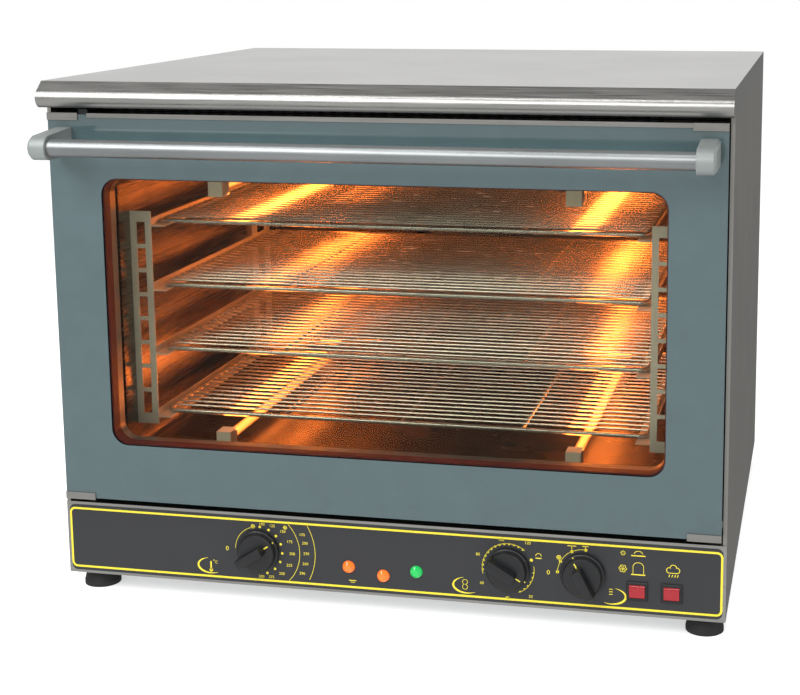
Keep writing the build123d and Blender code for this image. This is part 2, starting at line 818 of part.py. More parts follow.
def wire_shelf(level_z):
    """Wire grid: a thick frame, cross wires under it and thin wires on top.

    The thin and the cross wires are square, and every crossing sinks in by
    the depth of a weld.
    """
    inner_width = shelf_width - frame_wire
    inner_depth = shelf_depth - frame_wire
    thin_z = level_z + frame_wire / 2 - weld_depth
    cross_z = thin_z - (thin_wire + cross_wire) / 2 + weld_depth
    thin_pitch = inner_depth / (thin_wire_count + 1)
    cross_pitch = inner_width / (cross_wire_count + 1)
    with BuildPart() as shelf:
        with BuildSketch(Plane.XY.offset(level_z - frame_wire / 2)):
            with Locations((0, shelf_mid_y)):
                RectangleRounded(shelf_width, shelf_depth, frame_wire_corner)
                RectangleRounded(
                    shelf_width - 2 * frame_wire,
                    shelf_depth - 2 * frame_wire,
                    frame_wire_corner - frame_wire,
                    mode=Mode.SUBTRACT,
                )
        extrude(amount=frame_wire)
        chamfer(shelf.faces().filter_by(Axis.Z).edges(), length=frame_wire_bevel)
        with BuildSketch(Plane.YZ.offset(-inner_width / 2)):
            with Locations((shelf_mid_y, thin_z)):
                with GridLocations(thin_pitch, 0, thin_wire_count, 1):
                    Rectangle(thin_wire, thin_wire)
        extrude(amount=inner_width)
        with BuildSketch(front_plane(shelf_mid_y - inner_depth / 2)):
            with Locations((0, cross_z)):
                with GridLocations(cross_pitch, 0, cross_wire_count, 1):
                    Rectangle(cross_wire, cross_wire)
        extrude(amount=-inner_depth)
    return shelf


for number, level_z in enumerate(shelf_levels, start=1):
    save(wire_shelf(level_z), f"wire_shelf_{number}")


# Places of the controls on the panel
dials = {
    "thermostat": {"x": half_width - thermostat_inset, "pointer": thermostat_pointer},
    "timer": {"x": half_width - timer_inset, "pointer": timer_pointer},
    "selector": {"x": half_width - selector_inset, "pointer": selector_pointer},
}
lamps = {
    "amber": [
        (half_width - heat_lamp_inset, side_lamp_rise),
        (half_width - power_lamp_inset, middle_lamp_rise),
    ],
    "green": [(half_width - steam_lamp_inset, side_lamp_rise)],
}
rockers = {
    "left": half_width - rocker_inset - rocker_spacing,
    "right": half_width - rocker_inset,
}
rocker_z = base_z + rocker_rise
lamp_places = [(x, base_z + rise) for group in lamps.values() for x, rise in group]
spindle_hole = spindle_radius + panel_hole_gap
lamp_hole = lamp_body_radius + panel_hole_gap
rocker_places = [(x, rocker_z) for x in rockers.values()]
dial_places = [(dial["x"], control_z) for dial in dials.values()]


# Control panel: folded fascia with a shelf that runs back to the front frame
with BuildPart() as control_panel:
    with BuildSketch(front_plane(panel_y)):
        with Locations((0, base_z + panel_height / 2)):
            Rectangle(body_width, panel_height)
        with Locations(*dial_places):
            Circle(spindle_hole, mode=Mode.SUBTRACT)
        with Locations(*lamp_places):
            Circle(lamp_hole, mode=Mode.SUBTRACT)
        with Locations(*rocker_places):
            Rectangle(housing_width, housing_height, mode=Mode.SUBTRACT)
    extrude(amount=-casing_sheet)
    with BuildSketch(Plane.XY.offset(panel_top_z - casing_sheet)):
        with Locations((0, (casing_front_y + frame_y) / 2)):
            Rectangle(2 * inner_half_width, frame_y - casing_front_y)
    extrude(amount=casing_sheet)
save(control_panel, "control_panel")

with BuildPart() as control_overlay:
    with BuildSketch(front_plane(panel_y)):
        with Locations((0, base_z + panel_height / 2)):
            RectangleRounded(
                body_width - 2 * overlay_inset,
                panel_height - 2 * overlay_inset,
                overlay_corner,
            )
        with Locations(*dial_places):
            Circle(spindle_hole, mode=Mode.SUBTRACT)
        with Locations(*lamp_places):
            Circle(lamp_hole, mode=Mode.SUBTRACT)
        with Locations(*rocker_places):
            Rectangle(housing_width, housing_height, mode=Mode.SUBTRACT)
    extrude(amount=overlay_thickness)
save(control_overlay, "control_overlay")


def control_body(x):
    """Case of a rotary control, against the back of the panel, bored for its spindle."""
    with BuildPart() as body:
        with BuildSketch(front_plane(casing_front_y)):
            with Locations((x, control_z)):
                RectangleRounded(control_body_width, control_body_height, control_body_corner)
        extrude(amount=-control_body_depth)
        with BuildSketch(front_plane(casing_front_y)):
            with Locations((x, control_z)):
                Circle(spindle_radius + running_clearance)
        extrude(amount=-(spindle_grip + panel_hole_gap), mode=Mode.SUBTRACT)
    return body


def spindle(x):
    """Round spindle from inside the control to inside the knob."""
    spindle_front_y = overlay_y - knob_gap - knob_bore_depth
    with BuildPart() as rod:
        with BuildSketch(front_plane(spindle_front_y)):
            with Locations((x, control_z)):
                Circle(spindle_radius)
        extrude(amount=-(casing_front_y + spindle_grip - spindle_front_y))
    return rod


def knob(x, pointer):
    """Skirted knob with a bar grip whose nose points along the pointer angle."""
    seat = dial_plane(x, overlay_y - knob_gap, control_z, pointer)
    grip_length = grip_nose + grip_tail
    with BuildPart() as dial_knob:
        with BuildSketch(seat):
            Circle(knob_radius)
        extrude(amount=knob_skirt, taper=knob_taper)
        with BuildSketch(seat.offset(knob_skirt)):
            Circle(knob_cap_radius)
        extrude(amount=knob_cap, taper=knob_taper)
        with BuildSketch(seat.offset(knob_skirt / 2)):
            with Locations(((grip_nose - grip_tail) / 2, 0)):
                Rectangle(grip_length, grip_width)
        extrude(amount=knob_reach - knob_skirt / 2, taper=knob_taper)
        grip_top = dial_knob.faces().sort_by(Axis.Y)[0]
        chamfer(grip_top.edges(), length=grip_bevel)
        with BuildSketch(seat):
            Circle(spindle_radius + running_clearance)
        extrude(amount=knob_bore_depth, mode=Mode.SUBTRACT)
    return dial_knob


for dial_name, dial in dials.items():
    save(control_body(dial["x"]), f"{dial_name}_body")
    save(spindle(dial["x"]), f"{dial_name}_spindle")
    save(knob(dial["x"], dial["pointer"]), f"{dial_name}_knob")


# Indicator lamps: domed lenses on the overlay, with round bodies behind them
crown_radius = lamp_radius - lamp_dome / 2 * tan(radians(lens_taper))
for colour, group in lamps.items():
    with BuildPart() as lamp_lens:
        for lamp_x, rise in group:
            lamp_z = base_z + rise
            with BuildSketch(front_plane(overlay_y)):
                with Locations((lamp_x, lamp_z)):
                    Circle(lamp_radius)
            extrude(amount=lamp_dome / 2, taper=lens_taper)
            with BuildSketch(front_plane(overlay_y - lamp_dome / 2)):
                with Locations((lamp_x, lamp_z)):
                    Circle(crown_radius)
            extrude(amount=lamp_dome / 2, taper=lens_crown_taper)
    save(lamp_lens, f"{colour}_lamp_lens")

with BuildPart() as lamp_bodies:
    with BuildSketch(front_plane(overlay_y)):
        with Locations(*lamp_places):
            Circle(lamp_body_radius)
    extrude(amount=-lamp_body_depth)
save(lamp_bodies, "lamp_bodies")


def rocker_axis(x):
    """Plane across the rocker at its left end, on the pivot axis."""
    return Plane(origin=(x, panel_y + rocker_pivot_depth, rocker_z), x_dir=(0, 1, 0), z_dir=(1, 0, 0))


def switch_housing(x):
    """Bezel and case of a rocker switch, with a round seat for the rocker."""
    with BuildPart() as housing:
        with BuildSketch(front_plane(overlay_y)):
            with Locations((x, rocker_z)):
                Rectangle(bezel_width, bezel_height)
        extrude(amount=bezel_thickness)
        chamfer(housing.faces().sort_by(Axis.Y)[0].edges(), length=bezel_bevel)
        with BuildSketch(front_plane(overlay_y)):
            with Locations((x, rocker_z)):
                Rectangle(
                    housing_width - 2 * panel_hole_gap,
                    housing_height - 2 * panel_hole_gap,
                )
        extrude(amount=-housing_depth)
        with BuildSketch(rocker_axis(x - rocker_width / 2 - rocker_gap)):
            Circle(rocker_radius + rocker_gap)
        extrude(amount=rocker_width + 2 * rocker_gap, mode=Mode.SUBTRACT)
    return housing


def rocker(x):
    """Rocker with a flat face, at rest with its upper edge out."""
    lean = sin(radians(rocker_tilt)) * rocker_radius
    with BuildPart() as key:
        with BuildSketch(rocker_axis(x - rocker_width / 2)):
            Circle(rocker_radius)
            with BuildLine():
                Polyline(
                    (-rocker_face, 0),
                    (-rocker_face - lean, rocker_radius),
                    (rocker_back, rocker_radius),
                    (rocker_back, -rocker_radius),
                    (-rocker_face + lean, -rocker_radius),
                    close=True,
                )
            make_face(mode=Mode.INTERSECT)
        extrude(amount=rocker_width)
    return key


for side_name, rocker_x in rockers.items():
    save(switch_housing(rocker_x), f"switch_housing_{side_name}")
    save(rocker(rocker_x), f"rocker_{side_name}")


# Hinge brackets: folded plates on the front frame, bored for the door's pins
bracket_outer_x = door_half_width - bracket_inset
with BuildPart() as hinge_brackets:
    for side in (-1, 1):
        plate_x = side * (bracket_outer_x - bracket_sheet / 2) - bracket_sheet / 2
        flange_x = side * (bracket_outer_x - bracket_flange / 2)
        with BuildSketch(Plane.YZ.offset(plate_x)):
            with Locations((hinge_y, hinge_z)):
                Circle(bracket_nose)
            with Locations(((hinge_y + frame_y) / 2, hinge_z)):
                Rectangle(frame_y - hinge_y, 2 * bracket_nose)
            with Locations((hinge_y, hinge_z)):
                Circle(pin_radius + running_clearance, mode=Mode.SUBTRACT)
        extrude(amount=bracket_sheet)
        with BuildSketch(front_plane(frame_y)):
            with Locations((flange_x, hinge_z)):
                Rectangle(bracket_flange, bracket_flange_height)
        extrude(amount=bracket_sheet)
save(hinge_brackets, "hinge_brackets")


# Outer glass of the door
with BuildPart() as outer_glass:
    with BuildSketch(front_plane(door_face_y)):
        with Locations((0, door_mid_z)):
            Rectangle(2 * door_half_width, door_height)
    extrude(amount=-glass_thickness)
save(outer_glass, "outer_glass")


# Door pan: folded steel tray behind the glass, with a tunnel round the window
pan_half_width = door_half_width - pan_side_inset
pan_bottom_z = door_bottom_z + pan_bottom_inset
pan_height = door_top_z - pan_bottom_z
pan_mid_z = (pan_bottom_z + door_top_z) / 2
pan_depth = retainer_y - glass_back_y
pane_width = window_width + 2 * pane_grip
pane_height = window_height + 2 * pane_grip
with BuildPart() as door_pan:
    with BuildSketch(front_plane(glass_back_y)):
        with Locations((0, pan_mid_z)):
            Rectangle(2 * pan_half_width, pan_height)
    extrude(amount=-pan_depth)
    with BuildSketch(front_plane(glass_back_y + casing_sheet)):
        with Locations((0, pan_mid_z)):
            Rectangle(2 * (pan_half_width - casing_sheet), pan_height - 2 * casing_sheet)
        with Locations((0, window_mid_z)):
            RectangleRounded(
                window_width + 2 * casing_sheet,
                window_height + 2 * casing_sheet,
                window_corner + casing_sheet,
                mode=Mode.SUBTRACT,
            )
    extrude(amount=-(pan_depth - casing_sheet), mode=Mode.SUBTRACT)
    with BuildSketch(front_plane(glass_back_y)):
        with Locations((0, window_mid_z)):
            RectangleRounded(window_width, window_height, window_corner)
    extrude(amount=-pan_depth, mode=Mode.SUBTRACT)
    with BuildSketch(front_plane(seal_y)):
        with Locations((0, window_mid_z)):
            Rectangle(pane_width, pane_height)
    extrude(amount=-(retainer_y - seal_y), mode=Mode.SUBTRACT)
    with BuildSketch(Plane.YZ.offset(-pan_half_width)):
        with Locations((hinge_y, hinge_z)):
            Circle(pin_radius + running_clearance)
    extrude(amount=2 * pan_half_width, mode=Mode.SUBTRACT)
save(door_pan, "door_pan")


# Seal, inner pane and the polished frame that holds them from behind
with BuildPart() as glass_seal:
    with BuildSketch(front_plane(seal_y)):
        with Locations((0, window_mid_z)):
            RectangleRounded(
                window_width + 2 * seal_grip,
                window_height + 2 * seal_grip,
                window_corner,
            )
            RectangleRounded(
                window_width - 2 * seal_overlap,
                window_height - 2 * seal_overlap,
                window_corner - seal_overlap / 2,
                mode=Mode.SUBTRACT,
            )
    extrude(amount=-seal_thickness)
save(glass_seal, "glass_seal")

with BuildPart() as inner_glass:
    with BuildSketch(front_plane(pane_y)):
        with Locations((0, window_mid_z)):
            Rectangle(pane_width, pane_height)
    extrude(amount=-glass_thickness)
save(inner_glass, "inner_glass")

retainer_margin = seal_overlap + retainer_overlap
with BuildPart() as inner_retainer:
    with BuildSketch(front_plane(retainer_y)):
        with Locations((0, pan_mid_z)):
            Rectangle(2 * pan_half_width, pan_height)
        with Locations((0, window_mid_z)):
            RectangleRounded(
                window_width - 2 * retainer_margin,
                window_height - 2 * retainer_margin,
                window_corner - seal_overlap / 2,
                mode=Mode.SUBTRACT,
            )
    extrude(amount=-retainer_sheet)
save(inner_retainer, "inner_retainer")


# Hinge pivots: a block in each lower corner of the door pan, with its pin
pivot_inner_x = pan_half_width - casing_sheet - pivot_block_width
pivot_mid_y = (glass_back_y + casing_sheet + retainer_y) / 2
pivot_bottom_z = pan_bottom_z + casing_sheet
pin_end_x = half_width - hem_width - pin_end_gap
with BuildPart() as hinge_pivots:
    for side in (-1, 1):
        block_x = side * (pivot_inner_x + pivot_block_width / 2)
        pin_start_x = pivot_inner_x if side > 0 else -pin_end_x
        with Locations((block_x, pivot_mid_y, pivot_bottom_z)):
            Box(
                pivot_block_width,
                retainer_y - glass_back_y - casing_sheet,
                pivot_block_height,
                align=(Align.CENTER, Align.CENTER, Align.MIN),
            )
        with BuildSketch(Plane.YZ.offset(pin_start_x)):
            with Locations((hinge_y, hinge_z)):
                Circle(pin_radius)
        extrude(amount=pin_end_x - pivot_inner_x)
save(hinge_pivots, "hinge_pivots")


# Corner clips: folded clips that hold the glass at its four corners
clip_mid_x = door_half_width - clip_length / 2
clip_front_y = door_face_y - clip_sheet
with BuildPart() as corner_clips:
    for side in (-1, 1):
        with Locations((side * clip_mid_x, clip_front_y, door_top_z - clip_lip)):
            Box(clip_length, clip_sheet, clip_lip + clip_sheet, align=(Align.CENTER, Align.MIN, Align.MIN))
        with Locations((side * clip_mid_x, clip_front_y, door_top_z)):
            Box(clip_length, clip_reach, clip_sheet, align=(Align.CENTER, Align.MIN, Align.MIN))
        with Locations((side * clip_mid_x, clip_front_y, door_bottom_z - clip_sheet)):
            Box(clip_length, clip_sheet, clip_lip + clip_sheet, align=(Align.CENTER, Align.MIN, Align.MIN))
            Box(
                clip_length,
                2 * clip_sheet + glass_thickness,
                clip_sheet,
                align=(Align.CENTER, Align.MIN, Align.MIN),
            )
        with Locations((side * clip_mid_x, glass_back_y, door_bottom_z - clip_sheet)):
            Box(
                clip_length,
                clip_sheet,
                pan_bottom_inset + clip_sheet,
                align=(Align.CENTER, Align.MIN, Align.MIN),
            )
save(corner_clips, "corner_clips")


# Edge trim along the top of the door, from the striker to the right-hand clip
trim_left_x = clip_length + striker_width + 2 * panel_hole_gap - door_half_width
trim_right_x = door_half_width - clip_length - panel_hole_gap
trim_mid_x = (trim_left_x + trim_right_x) / 2
trim_length = trim_right_x - trim_left_x
trim_front_y = door_face_y - trim_sheet
with BuildPart() as top_edge_trim:
    with Locations((trim_mid_x, trim_front_y, door_top_z)):
        Box(trim_length, trim_reach, trim_sheet, align=(Align.CENTER, Align.MIN, Align.MIN))
    with Locations((trim_mid_x, trim_front_y, door_top_z - trim_lip)):
        Box(trim_length, trim_sheet, trim_lip + trim_sheet, align=(Align.CENTER, Align.MIN, Align.MIN))
save(top_edge_trim, "top_edge_trim")


# Door switch behind the front frame, and the striker on the door that works it
striker_y = door_face_y + striker_setback
striker_end_y = frame_back_y + striker_reach
with BuildPart() as door_switch_striker:
    with Locations((striker_x, striker_y, door_top_z)):
        Box(
            striker_width,
            striker_end_y - striker_y,
            striker_height,
            align=(Align.CENTER, Align.MIN, Align.MIN),
        )
    striker_tip = door_switch_striker.faces().sort_by(Axis.Y)[-1].edges().sort_by(Axis.Z)[-1]
    chamfer(striker_tip, length=striker_height / 2)
save(door_switch_striker, "door_switch_striker")

switch_x = striker_x + striker_width / 2 + striker_clearance
lever_length = striker_width + 2 * striker_clearance
with BuildPart() as door_switch:
    with Locations((switch_x, frame_back_y, door_top_z)):
        Box(
            switch_width,
            switch_depth,
            switch_height,
            align=(Align.MIN, Align.MIN, Align.CENTER),
        )
    with Locations((switch_x, striker_end_y + lever_gap, door_top_z)):
        Box(
            lever_length,
            switch_lever,
            striker_height,
            align=(Align.MAX, Align.MIN, Align.MIN),
        )
save(door_switch, "door_switch")


# Handle: a straight bar between two elbows on the glass
handle_z = door_top_z - handle_drop
handle_bar_y = front_y + elbow_radius
elbow_outer_x = door_half_width - elbow_inset
elbow_inner_x = elbow_outer_x - elbow_width
with BuildPart() as handle_bar:
    with BuildSketch(Plane.YZ.offset(-elbow_inner_x)):
        with Locations((handle_bar_y, handle_z)):
            Circle(bar_radius)
    extrude(amount=2 * elbow_inner_x)
save(handle_bar, "handle_bar")

for side, side_name in ((-1, "left"), (1, "right")):
    elbow_x = elbow_inner_x if side > 0 else -elbow_outer_x
    base_top = (door_face_y, handle_z + handle_base_up)
    base_bottom = (door_face_y, handle_z - handle_base_down)
    elbow_top = (handle_bar_y, handle_z + elbow_radius)
    elbow_front = (handle_bar_y - elbow_radius, handle_z)
    elbow_bottom = (handle_bar_y, handle_z - elbow_radius)
    with BuildPart() as handle_elbow:
        with BuildSketch(Plane.YZ.offset(elbow_x)):
            with BuildLine():
                Polyline(elbow_bottom, base_bottom, base_top, elbow_top)
                ThreePointArc(elbow_top, elbow_front, elbow_bottom)
            make_face()
        extrude(amount=elbow_width)
        outer_face = handle_elbow.faces().sort_by(Axis.X)[-1 if side > 0 else 0]
        chamfer(outer_face.edges().filter_by(GeomType.CIRCLE), length=handle_round)
    save(handle_elbow, f"handle_elbow_{side_name}")
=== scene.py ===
import json
import bmesh
import bpy
import numpy as np
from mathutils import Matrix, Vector


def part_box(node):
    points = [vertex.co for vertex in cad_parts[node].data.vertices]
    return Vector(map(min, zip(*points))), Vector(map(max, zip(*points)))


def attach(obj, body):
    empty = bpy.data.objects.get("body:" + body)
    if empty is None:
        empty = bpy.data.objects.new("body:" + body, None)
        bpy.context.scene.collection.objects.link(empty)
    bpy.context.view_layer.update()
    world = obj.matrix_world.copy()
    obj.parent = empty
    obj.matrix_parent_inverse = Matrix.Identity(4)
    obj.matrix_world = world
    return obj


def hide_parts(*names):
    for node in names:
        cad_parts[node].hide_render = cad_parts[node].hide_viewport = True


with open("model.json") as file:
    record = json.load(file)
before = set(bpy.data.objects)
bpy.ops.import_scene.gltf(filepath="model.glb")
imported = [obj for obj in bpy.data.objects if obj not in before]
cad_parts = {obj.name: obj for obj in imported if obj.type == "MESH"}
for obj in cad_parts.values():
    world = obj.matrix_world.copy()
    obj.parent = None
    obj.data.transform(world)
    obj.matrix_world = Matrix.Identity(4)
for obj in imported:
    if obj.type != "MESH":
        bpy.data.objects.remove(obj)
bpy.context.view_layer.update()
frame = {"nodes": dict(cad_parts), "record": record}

MM = 0.001


# Places shared with the solids, in metres
def spans(node):
    """Lowest and highest corner of a solid as two arrays."""
    low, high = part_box(node)
    return np.array(low), np.array(high)


glass_low, glass_high = spans("outer_glass")
seal_low, seal_high = spans("glass_seal")
overlay_low = spans("control_overlay")[0]
frame_low = spans("front_frame")[0]
INK_HEIGHT = 0.08 * MM
OVERLAY_INSET = 3.5 * MM
PRINT_Y = overlay_low[1] - INK_HEIGHT
PANEL_BASE = overlay_low[2] - OVERLAY_INSET
DIAL_POINTER = {"thermostat": 33.0, "timer": -30.0, "selector": 117.0}  # degrees from right, upwards
joint_place = {joint["name"]: joint.get("pos_m") for joint in frame["record"]["behaviour"]["joints"]}
dial_centre = {dial: np.array(joint_place[f"{dial}_turn"])[[0, 2]] for dial in DIAL_POINTER}


# Colour and node helpers
def linear(hex_code, alpha=1.0):
    """sRGB hex to linear: a straight line near black, a shifted power of 2.4 above it."""
    c = np.array([int(hex_code[i:i + 2], 16) for i in (1, 3, 5)]) / 255.0
    c = np.where(c <= 0.04045, c / 12.92, ((c + 0.055) / 1.055) ** 2.4)
    return (*(float(v) for v in c), alpha)


def add(tree, kind, inputs=None, **settings):
    """Adds a node, sets its properties, then fills or links its inputs by name or number."""
    node = tree.nodes.new(kind)
    for key, value in settings.items():
        setattr(node, key, value)
    for key, value in (inputs or {}).items():
        if isinstance(value, bpy.types.NodeSocket):
            tree.links.new(value, node.inputs[key])
        else:
            node.inputs[key].default_value = value
    return node


def blank_material(name):
    """Material with an empty node tree and its output node."""
    material = bpy.data.materials.new(name)
    material.use_nodes = True
    material.node_tree.nodes.clear()
    return material, material.node_tree, add(material.node_tree, "ShaderNodeOutputMaterial")


def finish(name, dark, light, grain_mm, stretch=(1, 1, 1), rough=(0.4, 0.6), bump_mm=0.0,
           stain_mm=140.0, stain=0.12, metallic=0.0, cells=False, **socket_values):
    """Solid finish: grain mixes two tones, sets roughness and bump; a broad stain darkens it.

    The grain is noise (or Voronoi cells) whose period is grain_mm across and
    grain_mm times stretch along each axis. The stain is soft noise stain_mm wide.
    """
    material, tree, out = blank_material(name)
    place = add(tree, "ShaderNodeTexCoord").outputs["Object"]
    scaled = add(tree, "ShaderNodeMapping", {"Vector": place, "Scale": [1.0 / s for s in stretch]})
    if cells:
        grain = add(tree, "ShaderNodeTexVoronoi",
                    {"Vector": scaled.outputs[0], "Scale": 1000.0 / grain_mm}).outputs["Color"]
        grain = add(tree, "ShaderNodeSeparateColor", {"Color": grain}).outputs[0]
    else:
        grain = add(tree, "ShaderNodeTexNoise",
                    {"Vector": scaled.outputs[0], "Scale": 1000.0 / grain_mm, "Detail": 3.0,
                     "Roughness": 0.6}).outputs["Fac"]
    broad = add(tree, "ShaderNodeTexNoise",
                {"Vector": place, "Scale": 1000.0 / stain_mm, "Detail": 4.0}).outputs["Fac"]
    tones = add(tree, "ShaderNodeMix", {"Factor": grain, 6: linear(dark), 7: linear(light)},
                data_type="RGBA")
    shade = add(tree, "ShaderNodeMapRange",
                {"Value": broad, "From Min": 0.35, "From Max": 0.65, "To Min": 1.0 - stain,
                 "To Max": 1.0})
    colour = add(tree, "ShaderNodeVectorMath",
                 {0: tones.outputs[2], "Scale": shade.outputs[0]}, operation="SCALE")
    dull = add(tree, "ShaderNodeMapRange",
               {"Value": grain, "From Min": 0.3, "From Max": 0.7, "To Min": rough[0],
                "To Max": rough[1]})
    shader = add(tree, "ShaderNodeBsdfPrincipled",
                 {"Base Color": colour.outputs[0], "Roughness": dull.outputs[0],
                  "Metallic": metallic, **socket_values})
    if bump_mm:
        relief = add(tree, "ShaderNodeBump",
                     {"Height": grain, "Strength": 1.0, "Distance": bump_mm * MM})
        tree.links.new(relief.outputs[0], shader.inputs["Normal"])
    tree.links.new(shader.outputs[0], out.inputs[0])
    return material


def see_through(name, tint, sheen, roughness):
    """Coated glass pane: clear with a tint face on, a faint mirror by Fresnel at a slant."""
    material, tree, out = blank_material(name)
    place = add(tree, "ShaderNodeTexCoord").outputs["Object"]
    film = add(tree, "ShaderNodeTexNoise", {"Vector": place, "Scale": 14.0, "Detail": 5.0})
    dull = add(tree, "ShaderNodeMapRange",
               {"Value": film.outputs["Fac"], "From Min": 0.4, "From Max": 0.7,
                "To Min": roughness, "To Max": roughness * 2.5})
    clear = add(tree, "ShaderNodeBsdfTransparent", {"Color": linear(tint)})
    gloss = add(tree, "ShaderNodeBsdfGlossy", {"Color": linear(sheen), "Roughness": dull.outputs[0]})
    slant = add(tree, "ShaderNodeFresnel", {"IOR": 1.14})
    pane = add(tree, "ShaderNodeMixShader",
               {0: slant.outputs[0], 1: clear.outputs[0], 2: gloss.outputs[0]})
    tree.links.new(pane.outputs[0], out.inputs[0])
    return material


# Metals. Brushing is about 0.1 mm wide, too fine to show, so it is drawn 1 to 2 mm wide
brushed_across = finish("stainless_brushed_across", "#8B8A87", "#B7B6B3", 1.3, (60, 1, 1),
                        (0.26, 0.40), 0.010, metallic=1.0)
brushed_upright = finish("stainless_brushed_upright", "#8E8C87", "#ADABA5", 1.3, (1, 1, 70),
                         (0.34, 0.46), 0.008, metallic=1.0)
# Mirror-rolled liner sheet, with wipe marks; its warm brown tone is painted light, standing in for the
# orange glow of the lit quartz tubes
liner_polish = finish("stainless_mirror_rolled", "#6C5F55", "#887A6D", 2.4, (60, 60, 1),
                      (0.20, 0.32), 0.015, 60, 0.3, metallic=1.0)
# Hot-dip galvanised sheet: spangle crystals 8 mm across
galvanised = finish("steel_galvanised_spangle", "#979C9E", "#AFB4B5", 8.0, rough=(0.35, 0.55),
                    metallic=1.0, cells=True)
# Fired enamel: glassy black with a faint orange peel
black_enamel = finish("steel_black_enamel", "#0B0B0B", "#161615", 2.5, rough=(0.16, 0.24),
                      bump_mm=0.02, **{"Coat Weight": 0.4, "Coat Roughness": 0.08})
# Drawn and chromed wire, bright with drawing lines
bright_wire = finish("wire_bright_chrome", "#B6B4B1", "#D6D4D0", 2.0, (25, 1, 1), (0.18, 0.28),
                     metallic=0.75)
rack_steel = finish("rack_satin_chrome", "#C8C6C0", "#E0DED8", 1.5, (1, 1, 20), (0.28, 0.42), 0.01,
                    metallic=0.2)
# Satin anodised tube, brushed along its length
anodised_bar = finish("aluminium_satin_anodised", "#7E8182", "#979A9A", 1.4, (70, 1, 1),
                      (0.34, 0.44), 0.006, metallic=0.9)
anodised_trim = finish("aluminium_bright_anodised", "#8C8A86", "#A9A7A3", 1.4, (40, 1, 1),
                       (0.26, 0.38), metallic=1.0)
# Bead-blasted and lacquered die casting: fine pits, no direction
grey_casting = finish("aluminium_blasted_casting", "#7C8382", "#949A98", 1.0, rough=(0.42, 0.58),
                      bump_mm=0.05, metallic=0.35)
# Zinc-plated sheet and screws, slightly dull
zinc_steel = finish("steel_zinc_plated", "#8F9190", "#B5B7B4", 1.6, rough=(0.30, 0.45), metallic=1.0)
# Heater sheath scaled dark by heat
heater_scale = finish("heater_oxidised_sheath", "#2A2320", "#5A4A40", 3.0, rough=(0.45, 0.7),
                      bump_mm=0.03, metallic=0.7)
# Dipped lacquer on the motor's laminated shell
motor_paint = finish("motor_black_lacquer", "#1E1F20", "#2E2F31", 1.5, rough=(0.4, 0.55), bump_mm=0.02)

# Glass, ceramic and mineral parts
# Fired screen print under the glass: even grey-green, glossy on top
printed_glass = finish("glass_screen_enamelled", "#3F4F52", "#475A5D", 30.0, rough=(0.05, 0.09),
                       stain=0.04, **{"IOR": 1.52, "Coat Weight": 0.5, "Coat Roughness": 0.02})
# Coated float glass: clear face on, with a faint mirror at a slant
window_glass = see_through("glass_clear_outer", "#F6F8F5", "#E8ECEC", 0.01)
pane_glass = see_through("glass_clear_inner", "#F2F0EB", "#C8C8C8", 0.02)
# Fused quartz lit from inside, and the coiled wire that lights it
quartz = finish("quartz_glowing_tube", "#FFB070", "#FFD09A", 2.0, (1, 6, 1), (0.1, 0.2),
                **{"Emission Color": linear("#FF8A38"), "Emission Strength": 1.5, "Alpha": 0.6})
filament = finish("filament_white_hot", "#FFC890", "#FFE0B8", 2.0, rough=(0.4, 0.5),
                  **{"Emission Color": linear("#FFA050"), "Emission Strength": 5.0})
# Pressed and fired steatite: matt, off-white
steatite = finish("steatite_pressed", "#CFC8BA", "#E2DCCF", 2.0, rough=(0.55, 0.7), bump_mm=0.03)
# Needled mineral wool: matted yellow-brown fibres
mineral_wool = finish("mineral_wool_felt", "#9C8F63", "#C2B68B", 2.0, (6, 1, 6), (0.85, 0.95), 0.6)

# Rubber and plastic parts
# Extruded silicone and moulded rubber: matt, with a fine moulded grain
red_silicone = finish("silicone_dark_red", "#4A0B08", "#641410", 3.0, rough=(0.4, 0.55), bump_mm=0.02)
gasket_rubber = finish("gasket_black_silicone", "#121211", "#1F1F1E", 1.5, rough=(0.5, 0.65), bump_mm=0.04)
foot_rubber = finish("foot_moulded_rubber", "#0D0D0D", "#1A1A1A", 1.2, rough=(0.5, 0.7), bump_mm=0.05)
# Polyester film with a fine matt texture, reverse-printed dark grey
overlay_film = finish("overlay_textured_polyester", "#242528", "#2B2C2F", 1.4, rough=(0.42, 0.55),
                      bump_mm=0.012, stain=0.05)
# Compression-moulded phenolic and injection-moulded nylon: satin black
knob_moulding = finish("knob_phenolic_black", "#101113", "#1C1D20", 1.4, rough=(0.34, 0.48), bump_mm=0.02)
nylon_black = finish("nylon_moulded_black", "#101010", "#1D1D1D", 1.2, rough=(0.4, 0.6), bump_mm=0.03)
# Moulded clear-coloured polycarbonate, glossy, lit a little from behind
amber_lens = finish("lens_amber_polycarbonate", "#E86210", "#F58228", 3.0, rough=(0.08, 0.14),
                    **{"Coat Weight": 0.6, "Emission Color": linear("#FF5A14"), "Emission Strength": 0.35})
green_lens = finish("lens_green_polycarbonate", "#0AA045", "#19C35E", 3.0, rough=(0.08, 0.14),
                    **{"Coat Weight": 0.6, "Emission Color": linear("#0AA84A"), "Emission Strength": 0.25})
rocker_red = finish("rocker_red_polycarbonate", "#8A0814", "#A01020", 3.0, rough=(0.14, 0.24),
                    **{"Coat Weight": 0.3, "Emission Color": linear("#C01020"), "Emission Strength": 0.03})
# Natural uncoloured nylon, off-white
terminal_nylon = finish("nylon_natural", "#D8D3C4", "#E8E4D6", 2.0, rough=(0.45, 0.6))
# Screen-printed yellow ink: even, slightly raised and matt
yellow_ink = finish("ink_screen_yellow", "#D9C71F", "#EAD938", 1.0, rough=(0.45, 0.6), stain=0.03)
pointer_paint = finish("pointer_yellow_paint", "#E3D22A", "#F0E04A", 1.0, rough=(0.4, 0.5), stain=0.03)

